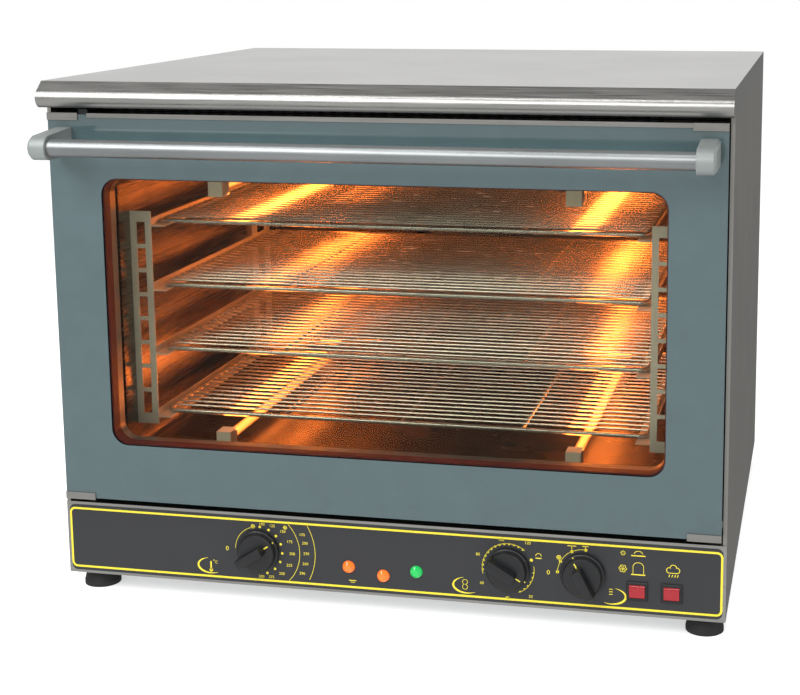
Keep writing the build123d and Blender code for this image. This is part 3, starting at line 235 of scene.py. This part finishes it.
node_finishes = {
    brushed_across: ["top_cover", "control_panel"],
    brushed_upright: ["side_panel_left", "side_panel_right"],
    galvanised: ["base_pan", "rear_panel", "support_channels"],
    black_enamel: ["front_frame", "door_pan"],
    liner_polish: ["cavity_liner", "fan_baffle", "fan_impeller", "inner_retainer"],
    rack_steel: ["shelf_rack_left", "shelf_rack_right"],
    bright_wire: ["wire_shelf_1", "wire_shelf_2", "wire_shelf_3", "wire_shelf_4"],
    zinc_steel: ["motor_bracket", "fan_shaft", "hinge_brackets", "hinge_pivots",
                 "thermostat_spindle", "timer_spindle", "selector_spindle"],
    heater_scale: ["ring_heater"],
    motor_paint: ["fan_motor"],
    anodised_bar: ["handle_bar"],
    anodised_trim: ["top_edge_trim", "corner_clips"],
    grey_casting: ["handle_elbow_left", "handle_elbow_right"],
    printed_glass: ["outer_glass"],
    pane_glass: ["inner_glass"],
    quartz: ["quartz_tubes_upper", "quartz_tubes_lower"],
    steatite: ["tube_holders"],
    mineral_wool: ["insulation_blanket"],
    red_silicone: ["glass_seal"],
    gasket_rubber: ["door_gasket"],
    foot_rubber: ["feet"],
    overlay_film: ["control_overlay"],
    knob_moulding: ["thermostat_knob", "timer_knob", "selector_knob"],
    nylon_black: ["thermostat_body", "timer_body", "selector_body", "lamp_bodies",
                  "switch_housing_left", "switch_housing_right", "door_switch",
                  "door_switch_striker", "cable_gland"],
    amber_lens: ["amber_lamp_lens"],
    green_lens: ["green_lamp_lens"],
    rocker_red: ["rocker_left", "rocker_right"],
    terminal_nylon: ["terminal_block"],
}
for material, nodes in node_finishes.items():
    for node in nodes:
        piece = frame["nodes"][node]
        if not piece.material_slots:
            piece.data.materials.append(material)
        for material_slot in piece.material_slots:
            material_slot.link = "OBJECT"
            material_slot.material = material


# Surfaces as arrays
def quads(rows, columns, rows_close=False, columns_close=False):
    """Four-sided faces over a grid: point (i, j) is number i * columns + j."""
    i = np.arange(rows if rows_close else rows - 1)[:, None]
    j = np.arange(columns if columns_close else columns - 1)[None, :]
    i2, j2 = (i + 1) % rows, (j + 1) % columns
    corners = np.broadcast_arrays(i * columns + j, i2 * columns + j, i2 * columns + j2,
                                  i * columns + j2)
    return np.stack(corners, -1).reshape(-1, 4).tolist()


def rounded_outline(width, height, radius, steps=8):
    """Rectangle with arc corners: each corner is its centre plus the radius turned by the angle."""
    a = np.linspace(0, np.pi / 2, steps + 1)[None, :] + (np.pi / 2) * np.arange(4)[:, None]
    side_x = np.array([1, -1, -1, 1])[:, None] * (width / 2 - radius)
    side_z = np.array([1, 1, -1, -1])[:, None] * (height / 2 - radius)
    return np.stack([side_x + radius * np.cos(a), side_z + radius * np.sin(a)], -1).reshape(-1, 2)


def carried_tube(path, radius, sides=10, loop=False, up=(0, 0, 1)):
    """Circle carried along a path: the path point plus the radius turned about its tangent."""
    path = np.asarray(path, float)
    tangent = np.roll(path, -1, 0) - np.roll(path, 1, 0) if loop else np.gradient(path, axis=0)
    tangent /= np.linalg.norm(tangent, axis=1, keepdims=True)
    across = np.cross(tangent, np.array(up, float))
    across /= np.linalg.norm(across, axis=1, keepdims=True)
    over = np.cross(across, tangent)
    a = np.linspace(0, 2 * np.pi, sides, endpoint=False)[None, :, None]
    points = path[:, None] + radius * (np.cos(a) * across[:, None] + np.sin(a) * over[:, None])
    faces = quads(len(path), sides, loop, True)
    if not loop:
        last = (len(path) - 1) * sides
        faces += [list(range(sides)), list(range(last, last + sides))]
    return points.reshape(-1, 3), faces


def turned(profile, centre, sides=24, axis=1):
    """Profile (reach, radius) turned about an axis through centre; both ends are closed."""
    profile = np.asarray(profile, float)
    a = np.linspace(0, 2 * np.pi, sides, endpoint=False)[None, :]
    points = np.zeros((len(profile), sides, 3))
    others = [k for k in range(3) if k != axis]
    points[..., axis] = profile[:, 0, None]
    points[..., others[0]] = profile[:, 1, None] * np.cos(a)
    points[..., others[1]] = profile[:, 1, None] * np.sin(a)
    faces = quads(len(profile), sides, False, True)
    last = (len(profile) - 1) * sides
    faces += [list(range(sides)), list(range(last, last + sides))]
    return points.reshape(-1, 3) + np.array(centre), faces


def flat_strip(line, width, y):
    """Flat ribbon of ink: the line plus and minus half the width along its normal, at depth y."""
    line = np.asarray(line, float)
    run = np.gradient(line, axis=0)
    run /= np.linalg.norm(run, axis=1, keepdims=True)
    normal = np.stack([-run[:, 1], run[:, 0]], -1) * np.asarray(width).reshape(-1, 1) / 2
    rows = np.stack([line - normal, line + normal])
    points = np.stack([rows[..., 0], np.full(rows.shape[:2], y), rows[..., 1]], -1)
    return points.reshape(-1, 3), quads(2, len(line))


def arc(centre, radius, start, end, steps=24):
    """Arc points: centre plus the radius turned by degrees, from right and upwards."""
    a = np.radians(np.linspace(start, end, steps))
    return np.array(centre) + radius * np.stack([np.cos(a), np.sin(a)], -1)


def dot(centre, radius, y, sides=14):
    """Flat round dot of ink."""
    rim = arc(centre, radius, 0, 360, sides + 1)[:-1]
    points = np.stack([rim[:, 0], np.full(len(rim), y), rim[:, 1]], -1)
    return points, [list(range(len(rim)))]


FONT_DIGIT_HEIGHT = 0.7  # a digit's height as a share of the font's size


def numeral(words, centre, height, y):
    """Printed numbers, filled outlines centred on a point of the panel."""
    curve = bpy.data.curves.new("numeral_outline", "FONT")
    curve.body = words
    curve.align_x, curve.align_y = "CENTER", "CENTER"
    curve.size = height / FONT_DIGIT_HEIGHT
    curve.resolution_u = 3
    holder = bpy.data.objects.new("numeral_outline", curve)
    bpy.context.scene.collection.objects.link(holder)
    bpy.context.view_layer.update()
    depsgraph = bpy.context.evaluated_depsgraph_get()
    flat = bpy.data.meshes.new_from_object(holder.evaluated_get(depsgraph))
    points = np.empty(len(flat.vertices) * 3)
    flat.vertices.foreach_get("co", points)
    points = points.reshape(-1, 3)
    faces = [list(face.vertices) for face in flat.polygons]
    bpy.data.objects.remove(holder)
    bpy.data.curves.remove(curve)
    bpy.data.meshes.remove(flat)
    depth = np.full(len(points), y)
    return np.stack([points[:, 0] + centre[0], depth, points[:, 1] + centre[1]], -1), faces


def make_piece(name, parts, material, body, smooth=True, closed=True, replaced=()):
    """Joins parts into one mesh, turns faces outwards, and lets it ride on a body."""
    points, faces, start = [], [], 0
    for part_points, part_faces in parts:
        points.append(part_points)
        faces += [[v + start for v in face] for face in part_faces]
        start += len(part_points)
    mesh = bpy.data.meshes.new(name)
    mesh.from_pydata(np.concatenate(points).tolist(), [], faces)
    work = bmesh.new()
    work.from_mesh(mesh)
    if closed:
        bmesh.ops.recalc_face_normals(work, faces=work.faces)
    else:
        bmesh.ops.reverse_faces(work, faces=[f for f in work.faces if f.normal.y > 0])
    work.to_mesh(mesh)
    work.free()
    mesh.materials.append(material)
    piece = bpy.data.objects.new(name, mesh)
    bpy.context.scene.collection.objects.link(piece)
    if smooth:
        mesh.shade_smooth()
        mesh.set_sharp_from_angle(angle=np.radians(35))
    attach(piece, body)
    if replaced:
        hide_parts(*replaced)
    return piece


# Door glass: an enamelled border round a clear window, in one 4 mm pane
SEAL_OVERLAP = 6 * MM
EDGE = 0.6 * MM
GLASS_CORNER = 5 * MM
WINDOW_CORNER = 20 * MM
PRINT_UNDERCUT = 3 * MM
PANE_RECESS = 0.05 * MM
SEAL_DEPTH = 15 * MM
SEAL_GAP = 0.1 * MM
RETAINER_OPENING = 1 * MM

glass_mid = (glass_low + glass_high) / 2
window_mid_z = (seal_low[2] + seal_high[2]) / 2
window_width = seal_high[0] - seal_low[0] - 2 * SEAL_OVERLAP
window_height = seal_high[2] - seal_low[2] - 2 * SEAL_OVERLAP


def border_rows(rows):
    """Closed section carried round the window: each row is an outline at its own depth."""
    points = [np.stack([line[:, 0], np.full(len(line), y), line[:, 1]], -1) for line, y in rows]
    return np.concatenate(points), quads(len(rows), len(rows[0][0]), True, True)


def outer_line(inset):
    """Outline of the door glass, moved inwards by the inset."""
    line = rounded_outline(glass_high[0] * 2 - 2 * inset, glass_high[2] - glass_low[2] - 2 * inset,
                           GLASS_CORNER)
    return line + [0, glass_mid[2]]


def window_line(inset=0.0):
    """Outline of the clear window, moved inwards by the inset."""
    line = rounded_outline(window_width - 2 * inset, window_height - 2 * inset, WINDOW_CORNER)
    return line + [0, window_mid_z]


front, back = glass_low[1], glass_high[1]
make_piece("glass_border", [border_rows([
    (outer_line(EDGE), back), (outer_line(0), back - EDGE), (outer_line(0), front + EDGE),
    (outer_line(EDGE), front), (window_line(), front), (window_line(-PRINT_UNDERCUT), back),
])], printed_glass, "door", replaced=["outer_glass"])

# The pane widens to the rear under the print's edge, so that no wall of print shows
pane_rows = [(window_line(0.02 * MM), front + PANE_RECESS), (window_line(-2.9 * MM), back - PANE_RECESS)]
corners = len(pane_rows[0][0])
pane_points = np.concatenate([np.stack([line[:, 0], np.full(corners, y), line[:, 1]], -1)
                              for line, y in pane_rows])
pane_faces = quads(2, corners, False, True)
pane_faces += [list(range(corners)), list(range(corners, 2 * corners))]
make_piece("glass_window", [(pane_points, pane_faces)], window_glass, "door",
           smooth=False, replaced=["outer_glass"])


# Dark red seal and aluminium spacer round the window between the panes, and the retainer behind
def lining(front_y, rear_y, outer=0.3 * MM, inner=1.6 * MM):
    """Closed ring between two outlines of the window, from one depth to another."""
    return border_rows([(window_line(outer), rear_y), (window_line(outer), front_y),
                        (window_line(inner), front_y), (window_line(inner), rear_y)])


seal_back = seal_high[1] - SEAL_GAP
seal_split = back + SEAL_DEPTH
make_piece("window_seal", [lining(back + SEAL_GAP, seal_split, outer=-1.6 * MM)], red_silicone,
           "door", replaced=["glass_seal"])
make_piece("pane_spacer", [lining(seal_split, seal_back)], anodised_trim, "door",
           replaced=["glass_seal"])
retainer_low, retainer_high = spans("inner_retainer")
retainer_mid = (retainer_low + retainer_high) / 2
retainer_line = rounded_outline(2 * retainer_high[0], retainer_high[2] - retainer_low[2], 1 * MM)
retainer_line = retainer_line + [0, retainer_mid[2]]
make_piece("pane_retainer", [border_rows([
    (retainer_line, retainer_high[1]), (retainer_line, retainer_low[1]),
    (window_line(-RETAINER_OPENING), retainer_low[1]),
    (window_line(-RETAINER_OPENING), retainer_high[1]),
])], liner_polish, "door", smooth=False, replaced=["inner_retainer"])


# Wire shelves with round wires: frame, cross wires and thin wires
FRAME_WIRE, THIN_WIRE, CROSS_WIRE = 3.0 * MM, 1.5 * MM, 2.5 * MM  # radii
WELD_DEPTH = 0.4 * MM
SHELF_CORNER = 9 * MM
THIN_WIRES, CROSS_WIRES = 22, 3


def shelf_wires(node):
    """Round frame wire, thin wires side to side on top, and cross wires under them."""
    low, high = spans(node)
    mid_x, mid_y = (low[0] + high[0]) / 2, (low[1] + high[1]) / 2
    width, depth = high[0] - low[0] - 2 * FRAME_WIRE, high[1] - low[1] - 2 * FRAME_WIRE
    thin_z = high[2] - THIN_WIRE
    frame_z = thin_z - FRAME_WIRE + WELD_DEPTH
    cross_z = thin_z - THIN_WIRE - CROSS_WIRE + WELD_DEPTH
    rim = rounded_outline(width, depth, SHELF_CORNER, 6) + [mid_x, mid_y]
    rim = np.column_stack([rim, np.full(len(rim), frame_z)])
    parts = [carried_tube(rim, FRAME_WIRE, 12, True)]
    for y in mid_y + depth * (np.arange(1, THIN_WIRES + 1) / (THIN_WIRES + 1) - 0.5):
        line = np.linspace([mid_x - width / 2, y, thin_z], [mid_x + width / 2, y, thin_z], 4)
        parts.append(carried_tube(line, THIN_WIRE, 8))
    for x in mid_x + width * (np.arange(1, CROSS_WIRES + 1) / (CROSS_WIRES + 1) - 0.5):
        line = np.linspace([x, mid_y - depth / 2, cross_z], [x, mid_y + depth / 2, cross_z], 4)
        parts.append(carried_tube(line, CROSS_WIRE, 8))
    return parts


for number in range(1, 5):
    make_piece(f"shelf_wires_{number}", shelf_wires(f"wire_shelf_{number}"), bright_wire,
               f"shelf_{number}", replaced=[f"wire_shelf_{number}"])


# Heating coils inside the quartz tubes
COIL_END_GAP = 14 * MM


def coil(x, z, y0, y1, turns=90, radius=3.2 * MM, wire=0.6 * MM):
    """Helix along Y: centre plus the radius turned by an angle that grows evenly with y."""
    a = np.linspace(0, 2 * np.pi * turns, turns * 10)
    y = np.linspace(y0, y1, len(a))
    path = np.stack([x + radius * np.cos(a), y, z + radius * np.sin(a)], -1)
    return carried_tube(path, wire, 5, up=(0, 1, 0))


for level in ("upper", "lower"):
    low, high = spans(f"quartz_tubes_{level}")
    tube = (high[2] - low[2]) / 2
    make_piece(f"heating_coils_{level}",
               [coil(x, low[2] + tube, low[1] + COIL_END_GAP, high[1] - COIL_END_GAP)
                for x in (low[0] + tube, high[0] - tube)],
               filament, "oven")


# Printed panel: border line, scales and pictograms
def on_panel(x, rise):
    """Panel place in millimetres, from its middle and its lower edge, to metres."""
    return np.array([x * MM, PANEL_BASE + rise * MM])


def ink_line(*points, width=0.7):
    """Straight ribbons of ink between panel places given in millimetres."""
    return flat_strip(np.array([on_panel(*p) for p in points]), width * MM, PRINT_Y)


def ink_arc(x, rise, radius, start, end, width=0.7, steps=24):
    """Arc of ink: centre plus the radius turned from the start to the end angle."""
    line = arc(on_panel(x, rise), radius * MM, start, end, steps)
    return flat_strip(line, width * MM, PRINT_Y)


def ink_dot(x, rise, radius):
    """Round dot of ink at a panel place given in millimetres."""
    return dot(on_panel(x, rise), radius * MM, PRINT_Y)


def ink_number(text, x, rise, size):
    """Printed text centred on a panel place given in millimetres."""
    return numeral(text, on_panel(x, rise), size * MM, PRINT_Y)


def around(x, rise, radius, angle):
    """Panel place in millimetres: the centre plus the radius turned by the angle in degrees."""
    a = np.radians(angle)
    return x + radius * np.cos(a), rise + radius * np.sin(a)


def crescent(x, rise, start, end, width=2.2, reach=(16.5, 9.6)):
    """Part of an ellipse whose width swells with the sine from nothing to full in the middle."""
    a = np.radians(np.linspace(start, end, 30))
    line = on_panel(x, rise) + MM * np.stack([reach[0] * np.cos(a), reach[1] * np.sin(a)], -1)
    swell = 0.25 + np.sin(np.linspace(0, np.pi, 30)) * width
    return flat_strip(line, swell * MM, PRINT_Y)


def frame_line(width, height, corner):
    """Closed outline round the panel's middle, its first point repeated at the end."""
    line = rounded_outline(width * MM, height * MM, corner * MM) + on_panel(0, 45)
    return np.vstack([line, line[:1]])


ring = np.stack([frame_line(783, 71, 4.5), frame_line(788, 76, 7)])
ring_points = np.stack([ring[..., 0], np.full(ring.shape[:2], PRINT_Y), ring[..., 1]], -1)
make_piece("panel_border_line", [(ring_points.reshape(-1, 3), quads(2, ring.shape[1]))], yellow_ink,
           "oven", smooth=False, closed=False)


def scale_ring(x, rise, radius, angles, size):
    """Dots at even places round a dial."""
    return [ink_dot(*around(x, rise, radius, angle), size) for angle in angles]


def numbers(x, rise, values, size=3.4):
    """Numbers at polar places round a dial: (text, angle, reach in millimetres)."""
    return [ink_number(text, *around(x, rise, reach, angle), size) for text, angle, reach in values]


def small_fan(x, rise, radius):
    """Fan pictogram: six curved blades, each a short arc that leans off a spoke."""
    marks = [ink_dot(x, rise, radius * 0.2)]
    for blade in np.arange(6) * 60.0:
        foot = around(x, rise, radius * 0.55, blade)
        marks.append(ink_arc(*foot, radius * 0.45, blade - 150, blade + 30, 0.7, 8))
    return marks


def print_piece(name, marks):
    """One piece of yellow ink on the overlay."""
    make_piece(name, marks, yellow_ink, "oven", False, False)


dial_place = {dial: (x / MM, (z - PANEL_BASE) / MM) for dial, (x, z) in dial_centre.items()}

# Thermostat: a scale of nine numbers, a second of five between two arcs, and its pictogram
thermostat = dial_place["thermostat"]
near_reach = (33, 36, 39.5, 41, 41.5, 41, 39, 35.5, 32.6)
near_scale = [(str(100 + 25 * i), angle, reach)
              for i, (angle, reach) in enumerate(zip(np.linspace(82, -86, 9), near_reach))]
far_scale = [(str(170 + 30 * i), angle, 59) for i, angle in enumerate((23, 12.5, 0, -12.5, -25))]
thermometer = [ink_line((-214, 16), (-214, 27), width=1.8), ink_dot(-214, 16, 2.2),
               ink_number("C", -207, 26, 3.5), ink_dot(-210, 28.5, 0.7)]
print_piece("thermostat_scale", (
    scale_ring(*thermostat, 29.2, np.linspace(86, -70, 8), 1.6)
    + numbers(*thermostat, near_scale)
    + [ink_arc(*thermostat, 29.2, 108, 178, 0.6), ink_arc(*thermostat, 51, 43, -45, 0.6),
       ink_arc(*thermostat, 70, 30, -27, 0.6)]
    + numbers(*thermostat, far_scale)
    + small_fan(-159.5, 74.4, 2.4) + small_fan(-119.5, 75.6, 2.2)
    + [ink_number("0", -192.6, 44.5, 5.5)]
    + [crescent(-213.5, 21.8, 105, 300)]
    + thermometer
))

# Timer: two rows of dots on arcs, six numbers, a bell and a pair of rings
timer = dial_place["timer"]
print_piece("timer_scale", (
    scale_ring(*timer, 30.0, np.linspace(185, 55, 13), 1.3)
    + scale_ring(*timer, 30.0, np.linspace(-5, -62, 6), 1.2)
    + [ink_dot(*around(*timer, 30, 25), 1.9)]
    + [ink_arc(*timer, 30.5, 195, 50, 0.6), ink_arc(*timer, 30.5, 10, -66, 0.6)]
    + numbers(*timer, [("20", -50, 41), ("40", -92, 35), ("60", 212, 36.5), ("80", 157, 38.5),
                       ("100", 103, 35.5), ("120", 55, 40)])
    + [ink_arc(184.5, 63, 3.2, 0, 180, 0.7), ink_line((181, 60.5), (188, 60.5), width=1.2)]
    + [ink_number("0", 195.9, 44.3, 5.5)]
    + [crescent(100.5, 21.5, 105, 305)]
    + [ink_arc(98, 25.3, 3.0, 0, 360, 0.6), ink_arc(98, 19.3, 3.0, 0, 360, 0.6)]
))

# Selector: four dots on an arc, a fan, two grill marks and a crescent
selector = dial_place["selector"]
print_piece("selector_marks", (
    scale_ring(*selector, 29.5, (178, 152, 116, 84), 1.9)
    + [ink_arc(*selector, 29.5, 182, 82, 0.6)]
    + small_fan(208, 63.5, 2.6)
    + [ink_line((218, 78.2), (228, 78.2), width=0.9), ink_line((235, 78.6), (242, 78.6), width=0.8),
       ink_line((238.6, 78.6), (238.6, 76), width=0.7), ink_line((223, 78.2), (223, 74), width=0.7)]
    + [crescent(268.5, 21.8, 75, -120)]
    + [ink_arc(268, 20 + 3 * k, 4.0, 60, 120, 0.8, 8) for k in range(3)]
))


def rays(x, rise, count, near, far, width=0.7):
    """Short rays round a point, for the star-shaped mark."""
    return [ink_line(around(x, rise, near, angle), around(x, rise, far, angle), width=width)
            for angle in np.arange(count) * 360 / count]


# Marks over the switches and under the lamps
grill_and_dome = [
    ink_line((290.8, 71.9), (307, 71.9), width=1.3), ink_arc(299, 72, 5.5, 25, 155, 0.7),
    ink_line((290.8, 49.5), (307, 49.5), width=1.3), ink_line((293, 50), (293, 60), width=0.6),
    ink_line((305, 50), (305, 60), width=0.6), ink_arc(299, 57.5, 6.4, 22, 158, 0.7)]
steam_cloud = [
    ink_arc(334, 57.5, 3.2, 60, 270, 0.8), ink_arc(338.5, 60.2, 3.8, 10, 170, 0.8),
    ink_arc(342.5, 57.5, 3.2, -90, 110, 0.8), ink_line((334, 54.4), (342.5, 54.4), width=0.8)]
steam_cloud += [ink_line((x, 52.5), (x - 1, 49.5), width=0.9) for x in (334.5, 337.8, 341, 344)]
lamp_mark = [ink_line((-42, 16.4), (-33, 16.4), width=0.9), ink_line((-40, 14.2), (-35, 14.2), width=0.7)]
print_piece("lamp_and_switch_marks", (
    rays(281.5, 74.2, 8, 1.2, 3.2) + small_fan(281.4, 55.8, 4.4) + grill_and_dome + steam_cloud
    + lamp_mark))


# Knobs: a round skirt, a cap on it, and a grip bar that runs off over one side
KNOB_RADIUS, KNOB_SKIRT = 25.5 * MM, 6.0 * MM
CAP_RADIUS, CAP_REACH = 22.2 * MM, 5.8 * MM
GRIP_TAIL, GRIP_NOSE = -25.0 * MM, 12.5 * MM
GRIP_WIDTH, GRIP_CORNER = 12.5, 3.2  # millimetres
POINTER_WIDTH = 1.5 * MM


def knob_parts(low, high, centre, angle):
    """Turned skirt and cap, and a grip lofted through outlines that narrow towards its top."""
    face, rear = low[1], high[1]
    cap = rear - KNOB_SKIRT
    profile = [(rear, KNOB_RADIUS - 0.6 * MM), (rear - 0.6 * MM, KNOB_RADIUS), (cap + MM, KNOB_RADIUS),
               (cap, KNOB_RADIUS - MM), (cap, 23.0 * MM), (cap - 4.2 * MM, CAP_RADIUS),
               (cap - 5.4 * MM, 21.2 * MM), (cap - CAP_REACH, 19.0 * MM)]
    skirt_and_cap = turned(profile, (centre[0], 0, centre[1]), 48)
    turn = np.array([[np.cos(angle), np.sin(angle)], [-np.sin(angle), np.cos(angle)]])
    rows = []
    for y, inset in ((cap, 0.0), (face + 1.6 * MM, 0.7), (face + 0.5 * MM, 1.1), (face, 2.2)):
        line = rounded_outline(GRIP_NOSE - GRIP_TAIL - 2 * inset * MM, (GRIP_WIDTH - 2 * inset) * MM,
                               (GRIP_CORNER - inset) * MM, 5)
        line = (line + [(GRIP_NOSE + GRIP_TAIL) / 2, 0]) @ turn + centre
        rows.append(np.stack([line[:, 0], np.full(len(line), y), line[:, 1]], -1))
    count = len(rows[0])
    faces = quads(len(rows), count, False, True)
    faces += [list(range(count)), list(range(3 * count, 4 * count))]
    return [skirt_and_cap, (np.concatenate(rows), faces)]


for dial, centre in dial_centre.items():
    low, high = spans(f"{dial}_knob")
    angle = np.radians(DIAL_POINTER[dial])
    make_piece(f"{dial}_grip", knob_parts(low, high, centre, angle), knob_moulding, f"{dial}_dial",
               replaced=[f"{dial}_knob"])
    toward = np.array([np.cos(angle), np.sin(angle)])
    on_cap = flat_strip(centre + np.outer((12.8, 18.8), toward) * MM, POINTER_WIDTH, high[1] - 11.9 * MM)
    on_skirt = flat_strip(centre + np.outer((23.0, 24.6), toward) * MM, POINTER_WIDTH, high[1] - 6.1 * MM)
    make_piece(f"{dial}_pointer", [on_cap, on_skirt], pointer_paint, f"{dial}_dial",
               False, False)


# Small screws on the front frame and the rear panel
HEAD_HEIGHT, HEAD_SINK = 1.6 * MM, 0.2 * MM
FRAME_SCREW_Z = 0.5902
REAR_SCREW_X, REAR_SCREW_Z = 0.385, (0.036, 0.583)


def pan_head(x, y, z, radius, side=-1):
    """Domed head: its reach is the square root of one minus the square of the radius's share."""
    share = np.linspace(1, 0.05, 6)
    profile = np.stack([y + side * HEAD_HEIGHT * (1 - share ** 2) ** 0.5, share * radius], -1)
    profile = np.vstack([[y - side * HEAD_SINK, radius], profile])
    return turned(profile, (x, 0, z), 16)


frame_screws = [pan_head(side * x * MM, frame_low[1], FRAME_SCREW_Z, 2.0 * MM)
                for side in (-1, 1) for x in (358, 372)]
make_piece("front_frame_screws", frame_screws, zinc_steel, "oven")
rear_face = spans("rear_panel")[1][1]
rear_screws = [pan_head(x, rear_face, z, 4 * MM, 1)
               for x in np.linspace(-REAR_SCREW_X, REAR_SCREW_X, 4) for z in REAR_SCREW_Z]
make_piece("rear_panel_screws", rear_screws, zinc_steel, "oven")


# Camera at the photograph's viewing angle
SENSOR_WIDTH = 36.0
PICTURE_WIDTH, FOCAL_PIXELS = 800, 1578.2
camera_data = bpy.data.cameras.new("camera")
camera_data.sensor_width = SENSOR_WIDTH
camera_data.lens = FOCAL_PIXELS * SENSOR_WIDTH / PICTURE_WIDTH
camera_data.shift_x = -0.125
camera_data.shift_y = -0.153
camera = bpy.data.objects.new("camera", camera_data)
camera.location = (0.4934, -2.0020, 0.7580)
camera.rotation_euler = (1.40495, 0.0044, 0.20485)
bpy.context.scene.collection.objects.link(camera)
bpy.context.scene.camera = camera

# Floor and daylight: white to the camera, softer and graded in reflections
FLOOR_REACH = 6.0
floor_points = FLOOR_REACH * np.array([[-1, -1, 0], [1, -1, 0], [1, 1, 0], [-1, 1, 0]], float)
floor_mesh = bpy.data.meshes.new("floor")
floor_mesh.from_pydata(floor_points.tolist(), [], [[0, 1, 2, 3]])
floor_mesh.materials.append(finish(
    "floor_white_paint", "#F4F4F3", "#FAFAF9", 60.0, rough=(0.7, 0.8), stain=0.01,
    **{"Emission Color": linear("#FFFFFF"), "Emission Strength": 0.5}))
floor = bpy.data.objects.new("floor", floor_mesh)
bpy.context.scene.collection.objects.link(floor)
floor.visible_glossy = False  # metal mirrors the graded wall, not the white floor

# World: a wall graded by height, brighter behind above the horizon and darker below it
world = bpy.data.worlds.new("studio")
bpy.context.scene.world = world
world.use_nodes = True
sky = world.node_tree
sky.nodes.clear()
heading = add(sky, "ShaderNodeTexCoord").outputs["Generated"]
parts = add(sky, "ShaderNodeSeparateXYZ", {0: heading})
wall = add(sky, "ShaderNodeValToRGB", {0: add(sky, "ShaderNodeMapRange", {
    "Value": parts.outputs[2], "From Min": -1.0, "From Max": 1.0}).outputs[0]})
steps = ((0.0, 0.95), (0.48, 0.90), (0.52, 0.26), (0.66, 0.42), (0.86, 0.46), (0.97, 0.16))
while len(wall.color_ramp.elements) < len(steps):
    wall.color_ramp.elements.new(0.5)
for stop, (place, value) in zip(wall.color_ramp.elements, steps):
    stop.position, stop.color = place, (value, value, value, 1.0)
rear = add(sky, "ShaderNodeMapRange", {"Value": parts.outputs[1], "From Min": 0.1, "From Max": 0.9,
                                       "To Min": 0.0, "To Max": 0.8})
below = add(sky, "ShaderNodeMapRange", {"Value": parts.outputs[1], "From Min": 0.0, "From Max": 0.5,
                                        "To Min": 0.0, "To Max": -0.68})
above = add(sky, "ShaderNodeMapRange",
            {"Value": parts.outputs[2], "From Min": -0.02, "From Max": 0.08})
behind = add(sky, "ShaderNodeMix",
             {"Factor": above.outputs[0], 2: below.outputs[0], 3: rear.outputs[0]})
level = add(sky, "ShaderNodeMath", {0: wall.outputs[0], 1: behind.outputs[0]}, operation="ADD")
seen = add(sky, "ShaderNodeLightPath").outputs["Is Camera Ray"]
strength = add(sky, "ShaderNodeMix", {"Factor": seen, 2: level.outputs[0], 3: 1.0})
glow = add(sky, "ShaderNodeBackground",
           {"Color": linear("#FFFFFF"), "Strength": strength.outputs[0]})
sky.links.new(glow.outputs[0], add(sky, "ShaderNodeOutputWorld").inputs[0])


def softbox(name, place, aim, size, power, tint="#FFFFFF"):
    """Rectangular area light at a place, turned towards a point."""
    data = bpy.data.lights.new(name, "AREA")
    data.shape = "RECTANGLE"
    data.size, data.size_y = size
    data.energy = power
    data.color = linear(tint)[:3]
    light = bpy.data.objects.new(name, data)
    light.location = place
    light.rotation_euler = (Vector(aim) - Vector(place)).to_track_quat("-Z", "Y").to_euler()
    bpy.context.scene.collection.objects.link(light)
    return light


# Four studio lights, and a warm light at each quartz tube that shines into the cavity
for name, place, aim, size, power in (
        ("key_softbox", (-1.6, -2.2, 2.4), (0, 0, 0.35), (1.4, 1.0), 40),
        ("fill_softbox", (2.4, -1.4, 1.6), (0, 0, 0.3), (1.2, 1.6), 14),
        ("front_softbox", (-0.4, -2.5, 1.7), (0, 0, 0.3), (2.4, 0.9), 34),
        ("strip_softbox", (0, -1.05, 2.5), (0, -0.3, 0.6), (4.0, 0.22), 26)):
    softbox(name, place, aim, size, power)
TUBE_X, TUBE_Y, TUBE_LENGTH = 0.215, -0.045, 0.39
for side in (-1, 1):
    for z, way in ((0.486, -1), (0.192, 1)):
        x = side * TUBE_X
        lamp = softbox(f"tube_light_{side}_{z}", (x, TUBE_Y, z), (x, TUBE_Y, z + way),
                       (TUBE_LENGTH, 0.03), 1.25, "#FF8234")
        lamp.rotation_euler.z = np.pi / 2

bpy.context.scene.view_settings.view_transform = "Standard"
